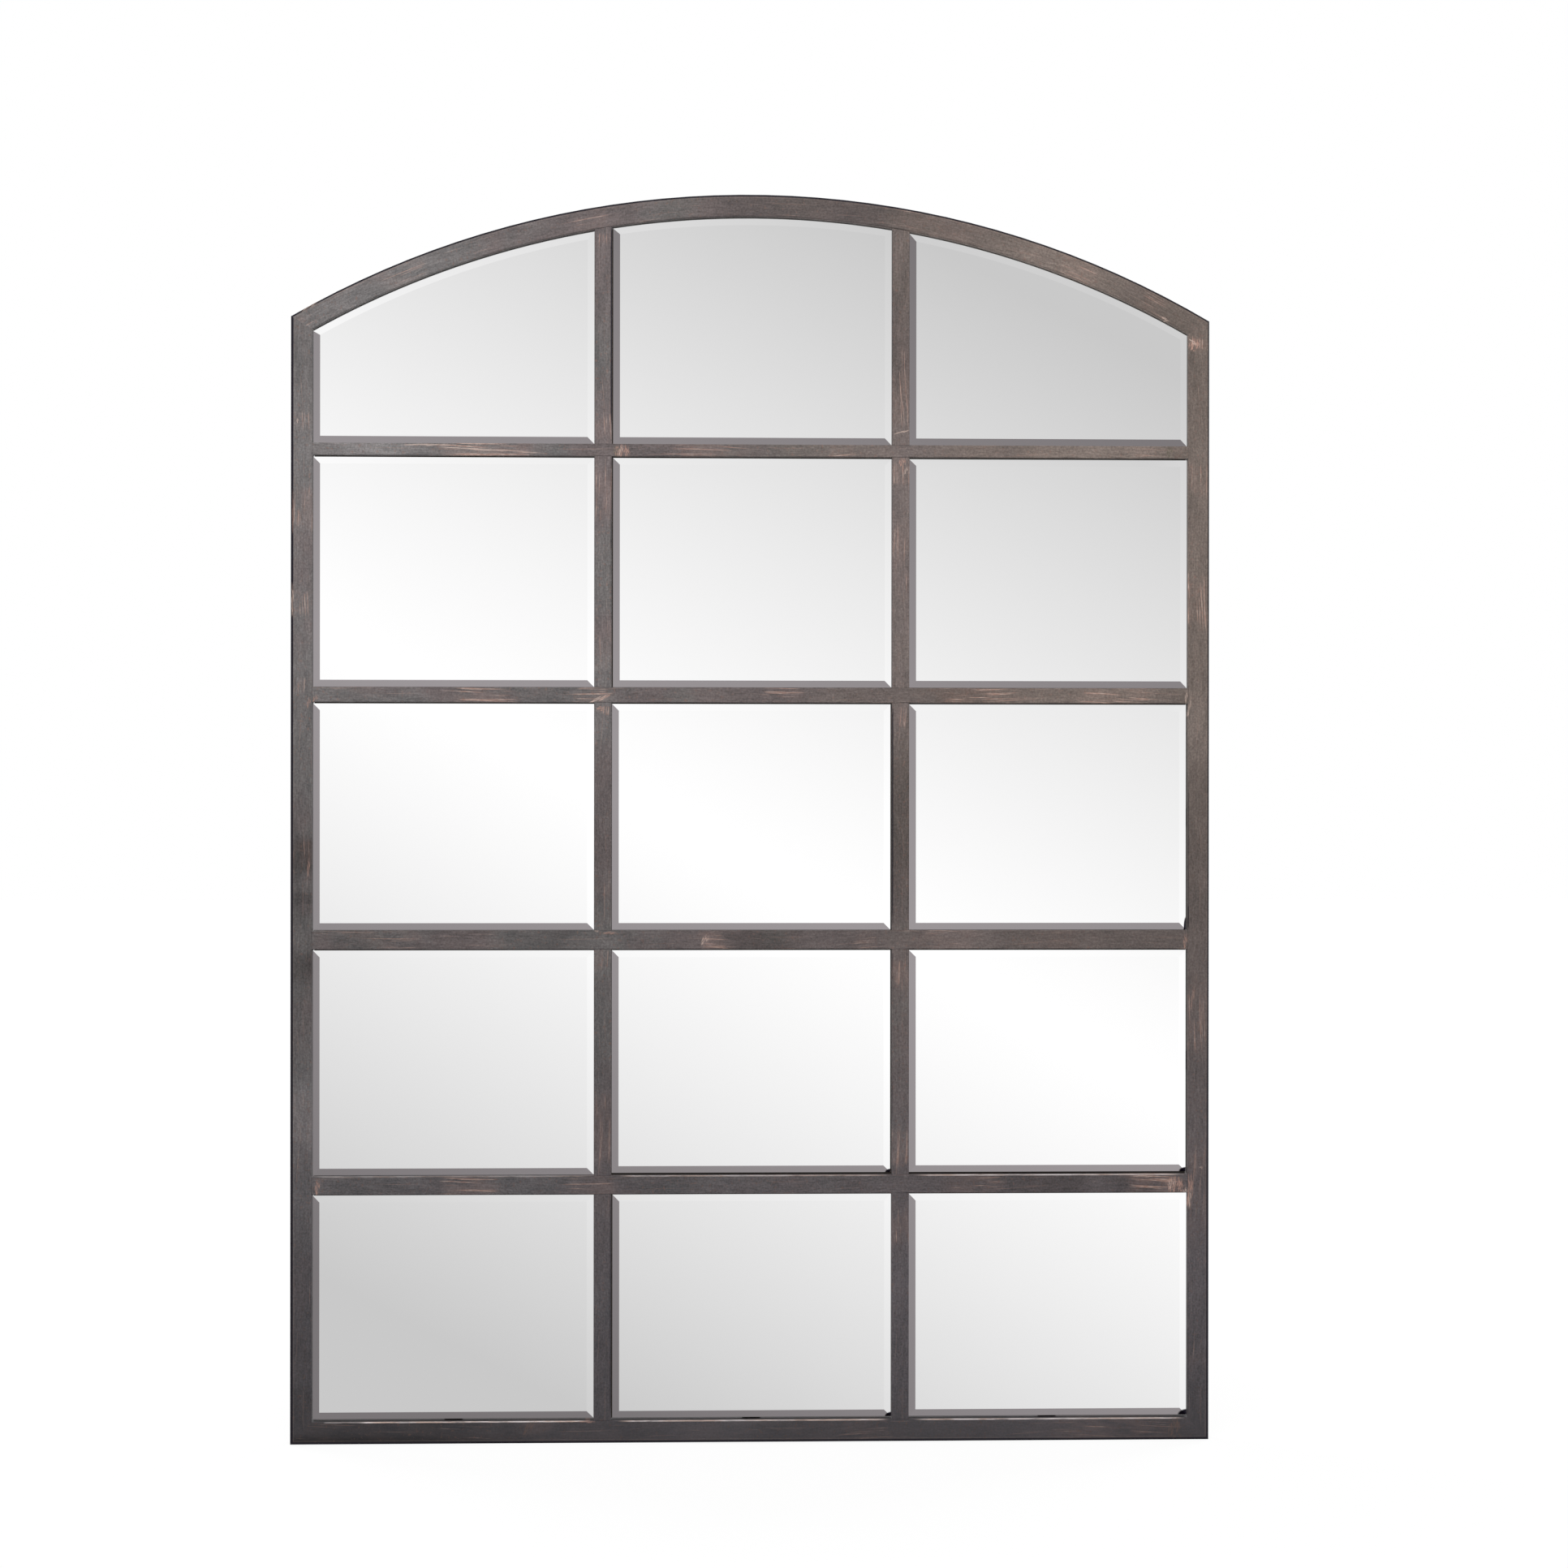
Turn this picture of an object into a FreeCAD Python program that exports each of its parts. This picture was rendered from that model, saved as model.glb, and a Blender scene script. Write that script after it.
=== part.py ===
import FreeCAD, Part
import os
import Sketcher

# An arched window mirror: a welded frame of rectangular steel tube with a shallow arched head,
# two lines of upright bars and four crossbars, and in each of its 3 x 5 cells a bevelled mirror.
# The mirrors are taped to one board, which is screwed to the backs of the bars. Two D-rings on
# the backs of the stiles hang it, and four bumpers keep it off the wall.
#
# Millimetres. +X is to the right, +Y goes back to the wall and +Z is up. The origin is at the
# middle of the bottom of the whole object, halfway between its front and the bumpers' tips.

DIMENSIONS = (
    # the frame's outline and its outer tubes
    ("overall_width", 1118, "width over both stiles"),
    ("overall_height", 1518, "height of the head's apex"),
    ("head_rise", 151, "from the shoulders, where stiles meet head, up to the apex"),
    ("frame_depth", 25, "front to back of the outer tubes"),
    ("stile_face", 26, "width of a stile seen from the front"),
    ("rail_face", 27, "height of the bottom rail seen from the front"),
    ("head_face", 26.5, "width of the arched head seen from the front"),
    ("frame_wall", 1.5, "wall of the outer tubes"),
    ("frame_arris", 1.4, "radius along their edges"),
    # the bars between the panes
    ("bar_depth", 12, "front to back of the crossbars and mullions"),
    ("bar_wall", 1.2, "wall of their tubes"),
    ("bar_arris", 0.8, "radius along their edges"),
    ("mullion_face", 21, "width of an upright bar"),
    ("crossbar_face_1", 15, "height of the top crossbar"),
    ("crossbar_face_2", 18.5, "height of the second crossbar"),
    ("crossbar_face_3", 23, "height of the third crossbar"),
    ("crossbar_face_4", 22.5, "height of the bottom crossbar"),
    ("lowest_crossbar_height", 313.6, "centre of the bottom crossbar"),
    ("top_crossbar_drop", 160.5, "from the shoulders down to the centre of the top crossbar"),
    # the bevelled mirrors
    ("glass_thickness", 5, "thickness of a pane"),
    ("bevel_width", 8.3, "width of the bevel round a pane"),
    ("bevel_drop", 2, "fall of the bevel to the pane's edge"),
    ("pane_side_gap", 0.4, "gap left and right of a pane"),
    ("loose_side_gap", 1.4, "gap at the side that a pane was taped away from"),
    ("pane_top_gap", 1.5, "gap over a pane"),
    ("pane_lift", 0.4, "gap under a pane"),
    ("high_pane_lift", 2.4, "gap under a pane that was taped on higher"),
    # what holds the mirrors from behind
    ("tape_thickness", 1, "foam tape behind a pane"),
    ("tape_height", 24, "height of a strip of tape"),
    ("tape_inset", 30, "from a pane's edges to its tape"),
    ("board_thickness", 5, "backing board"),
    ("board_gap", 1.5, "from the board's edge to the outer tubes"),
    ("board_hole_gap", 0.3, "clearance round a screw in the board"),
    ("board_screw_radius", 2, "shank of a board screw"),
    ("board_screw_length", 9.5, "its shank, under the head"),
    ("head_screw_drop", 76, "from the head down to each board screw below it"),
    ("tab_length", 22, "tab that holds the board's edge, along the tube"),
    ("tab_reach", 14, "how far it reaches over the board"),
    ("tab_thickness", 2, "its plate"),
    ("weld_width", 5, "bead over a mitre, on the back"),
    ("weld_height", 0.8, "how far it stands proud"),
    ("weld_end_gap", 5, "from the frame's corner to the bead's end"),
    # the hangers
    ("hanger_drop", 217, "from the shoulders down to the D-rings' pivots"),
    ("strap_width", 11, "hanger strap"),
    ("strap_thickness", 1.6, "its plate"),
    ("strap_length", 38, "from the pivot to the strap's lower end"),
    ("strap_corner", 4, "radius of its lower corners"),
    ("upper_screw_drop", 10.5, "from the pivot down to the upper screw"),
    ("lower_screw_drop", 31, "from the pivot down to the lower screw"),
    ("hanger_screw_radius", 2.4, "shank of a hanger screw"),
    ("hanger_screw_length", 10, "its shank, under the head"),
    ("ring_wire_radius", 1.75, "wire of a D-ring"),
    ("ring_inner_width", 17, "clear width inside a D-ring"),
    ("ring_arm", 8, "from the pivot to the start of the round end"),
    ("ring_bend", 3, "radius at the wire's centre between the pivot leg and an arm"),
    ("ring_play", 0.08, "running clearance round the wire in the eye"),
    ("ring_plate_gap", 0.4, "from the hanging ring to the strap's plate"),
    # screw heads and bumpers
    ("screw_hole_gap", 0.05, "clearance round a screw in a tapped hole"),
    ("screw_head_ratio", 2, "head radius over shank radius of every screw"),
    ("screw_head_height", 2.2, "pan head"),
    ("screw_head_round", 1.2, "radius round the head's edge"),
    ("recess_width", 1, "width of the cross recess's arms"),
    ("recess_reach", 1.9, "from the screw's axis to the end of an arm"),
    ("recess_depth", 1.3, "depth of the cross recess"),
    ("bumper_radius", 8, "rubber bumper at the frame"),
    ("bumper_tip_radius", 6.5, "the same at the wall"),
    ("bumper_height", 9, "from the frame to the wall"),
    ("low_bumper_height", 60, "height of the lower bumpers"),
    ("high_bumper_drop", 77, "from the shoulders down to the upper bumpers"),
)

# Rows and crossbars count from the top. Columns count from the middle one, to the right. The
# panes weren't all taped on in the same place: some stand higher, and some hug one side.
SIDES = (("left", -1), ("right", 1))
COLUMNS = (-1, 0, 1)
ROWS = (1, 2, 3, 4, 5)
CROSSBARS = (1, 2, 3, 4)
HIGH_PANES = ((4, 0), (4, 1), (5, -1), (5, 0), (5, 1))
LOOSE_SIDES = {(1, 0): -1, (2, 0): -1, (3, 0): 1, (3, 1): 1, (4, 0): 1, (4, 1): 1, (5, 0): -1}

Z_TO_WALL = FreeCAD.Rotation(FreeCAD.Vector(1, 0, 0), -90)

doc = FreeCAD.newDocument("arched_window_mirror")
sheet = doc.addObject("Spreadsheet::Sheet", "Sheet")
for line, (alias, size, note) in enumerate(DIMENSIONS, 1):
    sheet.set(f"A{line}", note)
    sheet.set(f"B{line}", str(size))
    sheet.setAlias(f"B{line}", alias)
doc.recompute()

subparts = []


# ---- Places that follow from the dimensions, as expressions on the sheet ----

HALF_WIDTH = "(Sheet.overall_width / 2)"
INNER_HALF = f"({HALF_WIDTH} - Sheet.stile_face)"
STILE_CENTRE = f"({HALF_WIDTH} - Sheet.stile_face / 2)"
SHOULDER_HEIGHT = "(Sheet.overall_height - Sheet.head_rise)"
HEAD_RADIUS = f"(({HALF_WIDTH}^2 + Sheet.head_rise^2) / (2 * Sheet.head_rise))"
HEAD_CENTRE = f"(Sheet.overall_height - {HEAD_RADIUS})"
HEAD_INNER_RADIUS = f"({HEAD_RADIUS} - Sheet.head_face)"
HEAD_MIDDLE = ("0", HEAD_CENTRE)

FRONT = "(-(Sheet.frame_depth + Sheet.bumper_height) / 2)"
FRAME_BACK = f"({FRONT} + Sheet.frame_depth)"
BAR_BACK = f"({FRONT} + Sheet.bar_depth)"
BOARD_BACK = f"({BAR_BACK} + Sheet.board_thickness)"
PANE_BACK = f"({BAR_BACK} - Sheet.tape_thickness)"
PANE_FRONT = f"({PANE_BACK} - Sheet.glass_thickness)"

CELL_WIDTH = "((Sheet.overall_width - 2 * Sheet.stile_face - 2 * Sheet.mullion_face) / 3)"
COLUMN_PITCH = f"({CELL_WIDTH} + Sheet.mullion_face)"
MULLION_CENTRE = f"({COLUMN_PITCH} / 2)"

LOWEST_CROSSBAR = "Sheet.lowest_crossbar_height"
TOP_CROSSBAR = f"({SHOULDER_HEIGHT} - Sheet.top_crossbar_drop)"
ROW_PITCH = f"(({TOP_CROSSBAR} - {LOWEST_CROSSBAR}) / {len(CROSSBARS) - 1})"

HANGER_HEIGHT = f"({SHOULDER_HEIGHT} - Sheet.hanger_drop)"
BUMPER_HEIGHTS = {
    "low": "Sheet.low_bumper_height",
    "high": f"({SHOULDER_HEIGHT} - Sheet.high_bumper_drop)",
}

EYE_HEIGHT = "(Sheet.strap_thickness + Sheet.ring_plate_gap + Sheet.ring_wire_radius)"
PIVOT_DEPTH = f"({FRAME_BACK} + {EYE_HEIGHT})"
RING_HALF = "(Sheet.ring_inner_width / 2 + Sheet.ring_wire_radius)"


def arc_height(x, radius):
    """Height at x of the circle of this radius about the head's centre."""
    return f"({HEAD_CENTRE} + sqrt(({radius})^2 - ({x})^2))"


def crossbar_centre(number):
    return f"({LOWEST_CROSSBAR} + {CROSSBARS[-1] - number} * {ROW_PITCH})"


def crossbar_edge(number, way):
    """Height of a crossbar's upper edge, where way is 1, or its lower one, where it is -1."""
    return f"({crossbar_centre(number)} + {way} * Sheet.crossbar_face_{number} / 2)"


def cell_bottom(row):
    return "Sheet.rail_face" if row == ROWS[-1] else crossbar_edge(row, 1)


def cell_top(row):
    """Height of a cell's straight top. The first row's cells end at the arch instead."""
    return crossbar_edge(row - 1, -1)


def pane_bottom(row, column):
    lift = "Sheet.high_pane_lift" if (row, column) in HIGH_PANES else "Sheet.pane_lift"
    return f"({cell_bottom(row)} + {lift})"


def pane_side(row, column, way):
    """Place of a pane's right edge, where way is 1, or its left one, where it is -1."""
    loose = LOOSE_SIDES.get((row, column)) == way
    gap = "Sheet.loose_side_gap" if loose else "Sheet.pane_side_gap"
    return f"({column} * {COLUMN_PITCH} + {way} * ({CELL_WIDTH} / 2 - {gap}))"


def pane_corner_height(row, column, way):
    if row == ROWS[0]:
        radius = f"{HEAD_INNER_RADIUS} - Sheet.pane_top_gap"
        return arc_height(pane_side(row, column, way), radius)
    return f"({cell_top(row)} - Sheet.pane_top_gap)"


def value(expression):
    return float(sheet.evalExpression(expression))


# ---- How a piece is made ----

def place(piece, x="0", y="0", z="0", rotation=None):
    if rotation:
        piece.Placement = FreeCAD.Placement(FreeCAD.Vector(), rotation)
    for axis, expression in zip("xyz", (x, y, z)):
        piece.setExpression(f"Placement.Base.{axis}", expression)
    return piece


def new_body(name, x="0", y=FRONT, z="0"):
    return place(doc.addObject("PartDesign::Body", name), x, y, z)


def keep(piece, name):
    """Counts a finished piece as a sub-part under this name."""
    piece.Label = name
    subparts.append(piece)


def new_sketch(body, name, shift="0", plane="XZ_Plane"):
    """A sketch on a plane of the body's own origin, shifted against the plane's normal, which
    is to the back for a plane parallel to the front."""
    sketch = body.newObject("Sketcher::SketchObject", name)
    origin_plane = next(item for item in body.Origin.OriginFeatures if item.Role == plane)
    sketch.AttachmentSupport = [(origin_plane, "")]
    sketch.MapMode = "FlatFace"
    sketch.setExpression("AttachmentOffset.Base.z", f"-({shift})")
    return sketch


def fix(sketch, kind, geometry, point, expression):
    """Ties one coordinate of a point of the sketch to the sheet."""
    constraint = Sketcher.Constraint(kind, -1, 1, geometry, point, value(expression))
    index = sketch.addConstraint(constraint)
    sketch.setExpression(f"Constraints[{index}]", expression)


def fix_point(sketch, geometry, point, x, z):
    fix(sketch, "DistanceX", geometry, point, x)
    fix(sketch, "DistanceY", geometry, point, z)


def point_at(place_in_sketch):
    x, z = place_in_sketch
    return FreeCAD.Vector(value(x), value(z), 0)


def draw_outline(body, name, corners, arcs=None, shift="0"):
    """A closed outline, parallel to the front. Corners are pairs of expressions. arcs gives the
    centre of each side that is an arc of under a half turn, by the side's number."""
    sketch = new_sketch(body, name, shift)
    arcs = arcs or {}
    starts = []
    for side, corner in enumerate(corners):
        start, finish = point_at(corner), point_at(corners[(side + 1) % len(corners)])
        starts.append(1)
        if side not in arcs:
            sketch.addGeometry(Part.LineSegment(start, finish), False)
            continue
        centre = point_at(arcs[side])
        if (start - centre).cross(finish - centre).z < 0:
            start, finish = finish, start
            starts[-1] = 2
        circle = Part.Circle(centre, FreeCAD.Vector(0, 0, 1), (start - centre).Length)
        turns = [circle.parameter(end) for end in (start, finish)]
        sketch.addGeometry(Part.ArcOfCircle(circle, *turns), False)
        fix(sketch, "DistanceY", side, 3, arcs[side][1])
    for side, (x, z) in enumerate(corners):
        before = side - 1 if side else len(corners) - 1
        fix_point(sketch, side, starts[side], x, z)
        sketch.addConstraint(
            Sketcher.Constraint("Coincident", before, 3 - starts[before], side, starts[side])
        )
    return sketch


def draw_circles(body, name, centres, radius, shift="0", plane="XZ_Plane"):
    sketch = new_sketch(body, name, shift, plane)
    for index, centre in enumerate(centres):
        circle = Part.Circle(point_at(centre), FreeCAD.Vector(0, 0, 1), value(radius))
        sketch.addGeometry(circle, False)
        fix_point(sketch, index, 3, *centre)
        constraint = sketch.addConstraint(Sketcher.Constraint("Radius", index, value(radius)))
        sketch.setExpression(f"Constraints[{constraint}]", radius)
    return sketch


def pad(body, sketch, length, against=True):
    """Pads a sketch against its plane's normal, which is to the back, or along it."""
    feature = body.newObject("PartDesign::Pad", "Pad")
    feature.Profile = sketch
    feature.Reversed = against
    feature.setExpression("Length", length)
    doc.recompute()
    return feature


def pocket(body, sketch, depth):
    """Cuts a sketch out against its plane's normal, which is to the back."""
    volume = body.Shape.Volume
    feature = body.newObject("PartDesign::Pocket", "Pocket")
    feature.Profile = sketch
    feature.setExpression("Length", depth)
    doc.recompute()
    if body.Shape.Volume >= volume:
        raise ValueError(f"a pocket of {body.Name} cuts nothing")


def round_edges(body, feature, edges, radius):
    fillet = body.newObject("PartDesign::Fillet", "Rounding")
    fillet.Base = (feature, [f"Edge{number}" for number in edges])
    fillet.setExpression("Radius", radius)
    doc.recompute()


def drill(body, centres, radius, wall, depth):
    """Drills the back wall of a tube of this depth."""
    pocket(body, draw_circles(body, "Holes", centres, radius, f"{depth} - {wall}"), wall)


def tube(name, corners, void, section, arcs=None, void_arcs=None):
    """A tube parallel to the front. Its outline is filled, rounded along its four longest edges
    and hollowed by the void, which runs out past its ends. section names the tube's depth, wall
    and arris on the sheet."""
    depth, wall, arris = (f"Sheet.{word}" for word in section)
    body = new_body(name)
    solid = pad(body, draw_outline(body, "Outline", corners, arcs), depth)
    edges = [(edge.Length, number) for number, edge in enumerate(solid.Shape.Edges, 1)]
    round_edges(body, solid, [number for length, number in sorted(edges)[-4:]], arris)
    pocket(body, draw_outline(body, "Void", void, void_arcs, wall), f"{depth} - 2 * {wall}")
    keep(body, name)
    return body


def rectangle(left, right, bottom, top):
    return (left, bottom), (right, bottom), (right, top), (left, top)


def box(name, x, y, z):
    """A box between pairs of expressions."""
    piece = place(doc.addObject("Part::Box", name), x[0], y[0], z[0])
    for side, (low, high) in zip(("Length", "Width", "Height"), (x, y, z)):
        piece.setExpression(side, f"({high}) - ({low})")
    return piece


def group(name, pieces):
    """Separate solids that share one sub-part."""
    compound = doc.addObject("Part::Compound", name)
    compound.Links = pieces
    keep(compound, name)


# ---- Where the screws go ----

def hanger_screw_places(sign):
    x = f"({sign} * {STILE_CENTRE})"
    drops = ("Sheet.upper_screw_drop", "Sheet.lower_screw_drop")
    return [(x, f"({HANGER_HEIGHT} - {drop})") for drop in drops]


def crossbar_screw_places(number):
    return [(f"({column} * {COLUMN_PITCH})", crossbar_centre(number)) for column in COLUMNS]


def head_screw_place(sign):
    head = arc_height(MULLION_CENTRE, HEAD_INNER_RADIUS)
    return f"({sign} * {MULLION_CENTRE})", f"({head} - Sheet.head_screw_drop)"


def board_screw_places():
    places = [head_screw_place(sign) for side, sign in SIDES]
    for number in CROSSBARS:
        places += crossbar_screw_places(number)
    return places


# ---- The welded frame ----

OUTER_TUBE = ("frame_depth", "frame_wall", "frame_arris")
BAR_TUBE = ("bar_depth", "bar_wall", "bar_arris")
BAR_THREAD = "Sheet.board_screw_radius + Sheet.screw_hole_gap"
STILE_THREAD = "Sheet.hanger_screw_radius + Sheet.screw_hole_gap"


def make_stile(side, sign):
    """A stile, mitred to the rail and to the head, with tapped holes for its hanger."""
    outer = f"({sign} * {HALF_WIDTH})"
    inner = f"({sign} * {INNER_HALF})"
    corners = (
        (outer, "0"),
        (inner, "Sheet.rail_face"),
        (inner, arc_height(INNER_HALF, HEAD_INNER_RADIUS)),
        (outer, SHOULDER_HEIGHT),
    )
    void = rectangle(
        f"{outer} - {sign} * Sheet.frame_wall",
        f"{inner} + {sign} * Sheet.frame_wall",
        "-Sheet.rail_face",
        "Sheet.overall_height",
    )
    body = tube(f"stile_{side}", corners, void, OUTER_TUBE)
    drill(body, hanger_screw_places(sign), STILE_THREAD, "Sheet.frame_wall", "Sheet.frame_depth")


def make_rail():
    corners = (
        (f"-{HALF_WIDTH}", "0"),
        (HALF_WIDTH, "0"),
        (INNER_HALF, "Sheet.rail_face"),
        (f"-{INNER_HALF}", "Sheet.rail_face"),
    )
    void = rectangle(
        f"-{HALF_WIDTH} - Sheet.stile_face",
        f"{HALF_WIDTH} + Sheet.stile_face",
        "Sheet.frame_wall",
        "Sheet.rail_face - Sheet.frame_wall",
    )
    tube("rail_bottom", corners, void, OUTER_TUBE)


def make_head():
    """The head: one rolled tube, mitred to the stiles."""
    inner_corner = arc_height(INNER_HALF, HEAD_INNER_RADIUS)
    corners = (
        (HALF_WIDTH, SHOULDER_HEIGHT),
        (f"-{HALF_WIDTH}", SHOULDER_HEIGHT),
        (f"-{INNER_HALF}", inner_corner),
        (INNER_HALF, inner_corner),
    )
    reach = f"({HALF_WIDTH} + Sheet.stile_face)"
    outer_height = arc_height(reach, f"{HEAD_RADIUS} - Sheet.frame_wall")
    inner_height = arc_height(reach, f"{HEAD_INNER_RADIUS} + Sheet.frame_wall")
    void = (
        (reach, outer_height),
        (f"-{reach}", outer_height),
        (f"-{reach}", inner_height),
        (reach, inner_height),
    )
    arcs = {0: HEAD_MIDDLE, 2: HEAD_MIDDLE}
    tube("head_arch", corners, void, OUTER_TUBE, arcs, arcs)


def make_crossbar(number):
    """A crossbar, which runs from stile to stile."""
    low, high = crossbar_edge(number, -1), crossbar_edge(number, 1)
    corners = rectangle(f"-{INNER_HALF}", INNER_HALF, low, high)
    void_heights = (f"{low} + Sheet.bar_wall", f"{high} - Sheet.bar_wall")
    void = rectangle(f"-{HALF_WIDTH}", HALF_WIDTH, *void_heights)
    body = tube(f"crossbar_{number}", corners, void, BAR_TUBE)
    drill(body, crossbar_screw_places(number), BAR_THREAD, "Sheet.bar_wall", "Sheet.bar_depth")


def make_mullion(side, sign, row):
    """The length of an upright bar that stands in one row. The first row's ends at the arch."""
    left, right = (
        f"({sign} * {MULLION_CENTRE} + {way} * Sheet.mullion_face / 2)" for way in (-1, 1)
    )
    in_arch = row == ROWS[0]
    low = cell_bottom(row)
    if in_arch:
        left_top, right_top = (arc_height(edge, HEAD_INNER_RADIUS) for edge in (left, right))
    else:
        left_top = right_top = cell_top(row)
    corners = ((left, low), (right, low), (right, right_top), (left, left_top))
    void = rectangle(
        f"{left} + Sheet.bar_wall",
        f"{right} - Sheet.bar_wall",
        f"{low} - Sheet.bar_depth",
        f"{left_top} + 2 * Sheet.bar_depth",
    )
    body = tube(f"mullion_{side}_{row}", corners, void, BAR_TUBE, {2: HEAD_MIDDLE} if in_arch else None)
    if in_arch:
        drill(body, [head_screw_place(sign)], BAR_THREAD, "Sheet.bar_wall", "Sheet.bar_depth")


def weld_bead(name, x, z, rise, run, axis):
    """A bead on the frame's back, ground to a flat top, along a seam of this rise and run. It is
    turned about an axis across the frame."""
    bead = doc.addObject("Part::Wedge", name)
    length = f"(sqrt({rise}^2 + {run}^2) - 2 * Sheet.weld_end_gap)"
    for side, size in (("X", length), ("Z", "Sheet.weld_width")):
        for end, way in (("min", -1), ("max", 1)):
            bead.setExpression(side + end, f"{way} * {size} / 2")
            bead.setExpression(f"{side}2{end}", f"{way} * ({size} / 2 - Sheet.weld_height)")
    bead.Ymin = 0
    bead.setExpression("Ymax", "Sheet.weld_height")
    slope = f"atan({rise} / {run})"
    place(bead, x, FRAME_BACK, z, FreeCAD.Rotation(axis, value(slope)))
    bead.setExpression("Placement.Rotation.Angle", slope)
    return bead


def make_corner_welds():
    """Beads over the four mitres, on the back."""
    inner_corner = arc_height(INNER_HALF, HEAD_INNER_RADIUS)
    shoulder_fall = f"({SHOULDER_HEIGHT} - {inner_corner})"
    shoulder_middle = f"({SHOULDER_HEIGHT} + {inner_corner}) / 2"
    seams = (
        ("foot", "Sheet.rail_face / 2", "Sheet.rail_face", 1),
        ("shoulder", shoulder_middle, shoulder_fall, -1),
    )
    beads = []
    for side, sign in SIDES:
        x = f"{sign} * {STILE_CENTRE}"
        for end, z, rise, way in seams:
            axis = FreeCAD.Vector(0, way * sign, 0)
            beads.append(weld_bead(f"weld_{end}_{side}", x, z, rise, "Sheet.stile_face", axis))
    group("corner_welds", beads)


# ---- The mirrors and what holds them ----

def make_pane(row, column):
    """A bevelled mirror. The first row's panes have an arched top."""
    left, right = pane_side(row, column, -1), pane_side(row, column, 1)
    low = pane_bottom(row, column)
    left_top, right_top = (pane_corner_height(row, column, way) for way in (-1, 1))
    corners = ((left, low), (right, low), (right, right_top), (left, left_top))
    name = f"pane_{row}_{COLUMNS.index(column) + 1}"
    body = new_body(name, y=PANE_FRONT)
    arcs = {2: HEAD_MIDDLE} if row == ROWS[0] else None
    glass = pad(body, draw_outline(body, "Outline", corners, arcs), "Sheet.glass_thickness")
    front_edges = [
        f"Edge{number}"
        for number, edge in enumerate(glass.Shape.Edges, 1)
        if edge.BoundBox.YMax < glass.Shape.BoundBox.Center.y
    ]
    bevel = body.newObject("PartDesign::Chamfer", "Bevel")
    bevel.Base = (glass, front_edges)
    bevel.ChamferType = "Two distances"
    bevel.setExpression("Size", "Sheet.bevel_drop")
    bevel.setExpression("Size2", "Sheet.bevel_width")
    keep(body, name)


def make_tape():
    """Two level strips of foam tape behind each pane."""
    strips = []
    for row in ROWS:
        for column in COLUMNS:
            sides = (
                f"{pane_side(row, column, -1)} + Sheet.tape_inset",
                f"{pane_side(row, column, 1)} - Sheet.tape_inset",
            )
            outer_way = column if column else 1
            low = f"({pane_bottom(row, column)} + Sheet.tape_inset)"
            high = f"({pane_corner_height(row, column, outer_way)} - Sheet.tape_inset)"
            for end, z in (("low", (low, f"{low} + Sheet.tape_height")),
                           ("high", (f"{high} - Sheet.tape_height", high))):
                strips.append(box(f"Tape_{end}", sides, (PANE_BACK, BAR_BACK), z))
    group("mounting_tape", strips)


def make_board():
    """The board, with a clear hole for each of its screws."""
    side = f"({INNER_HALF} - Sheet.board_gap)"
    low = "(Sheet.rail_face + Sheet.board_gap)"
    corner = arc_height(side, f"{HEAD_INNER_RADIUS} - Sheet.board_gap")
    corners = ((f"-{side}", low), (side, low), (side, corner), (f"-{side}", corner))
    body = new_body("backing_board", y=BAR_BACK)
    pad(body, draw_outline(body, "Outline", corners, {2: HEAD_MIDDLE}), "Sheet.board_thickness")
    radius = "Sheet.board_screw_radius + Sheet.board_hole_gap"
    holes = draw_circles(body, "Holes", board_screw_places(), radius)
    pocket(body, holes, "Sheet.board_thickness")
    keep(body, "backing_board")


def around(middle, length):
    return f"{middle} - {length} / 2", f"{middle} + {length} / 2"


def make_tabs():
    """Tabs that are welded inside the outer tubes and reach over the board's edge."""
    depth = (BOARD_BACK, f"{BOARD_BACK} + Sheet.tab_thickness")
    tip = f"({INNER_HALF} - Sheet.tab_reach)"
    reaches = {"left": (f"-{INNER_HALF}", f"-{tip}"), "right": (tip, INNER_HALF)}
    tabs = []
    for side, x in reaches.items():
        for number in CROSSBARS:
            z = around(f"({crossbar_centre(number)} - {ROW_PITCH} / 2)", "Sheet.tab_length")
            tabs.append(box(f"tab_{side}_{number}", x, depth, z))
    for column in COLUMNS:
        x = around(f"{column} * {COLUMN_PITCH}", "Sheet.tab_length")
        z = ("Sheet.rail_face", "Sheet.rail_face + Sheet.tab_reach")
        tabs.append(box(f"tab_foot_{column + 2}", x, depth, z))
    group("board_tabs", tabs)


# ---- Screws ----

def make_screw(name, radius, length):
    """A pan head screw with a cross recess. The origin is at its head's seat."""
    axis = (("0", "0"),)
    body = doc.addObject("PartDesign::Body", name)
    head = pad(
        body,
        draw_circles(body, "Head", axis, f"{radius} * Sheet.screw_head_ratio"),
        "Sheet.screw_head_height",
    )
    outer_edge = max(
        range(1, len(head.Shape.Edges) + 1),
        key=lambda number: head.Shape.Edges[number - 1].BoundBox.YMin,
    )
    round_edges(body, head, [outer_edge], "Sheet.screw_head_round")
    pad(body, draw_circles(body, "Shank", axis, radius), length, against=False)
    cross = []
    for turn, (x, z) in enumerate(((1, 1), (-1, 1), (-1, -1), (1, -1))):
        arm_x, arm_z = f"{x} * Sheet.recess_reach", f"{z} * Sheet.recess_reach"
        side_x, side_z = f"{x} * Sheet.recess_width / 2", f"{z} * Sheet.recess_width / 2"
        quarter = [(arm_x, side_z), (side_x, side_z), (side_x, arm_z)]
        cross += quarter if turn % 2 == 0 else quarter[::-1]
    floor = "Sheet.screw_head_height - Sheet.recess_depth"
    pocket(body, draw_outline(body, "Recess", cross, shift=floor), "Sheet.recess_depth")
    return body


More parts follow.
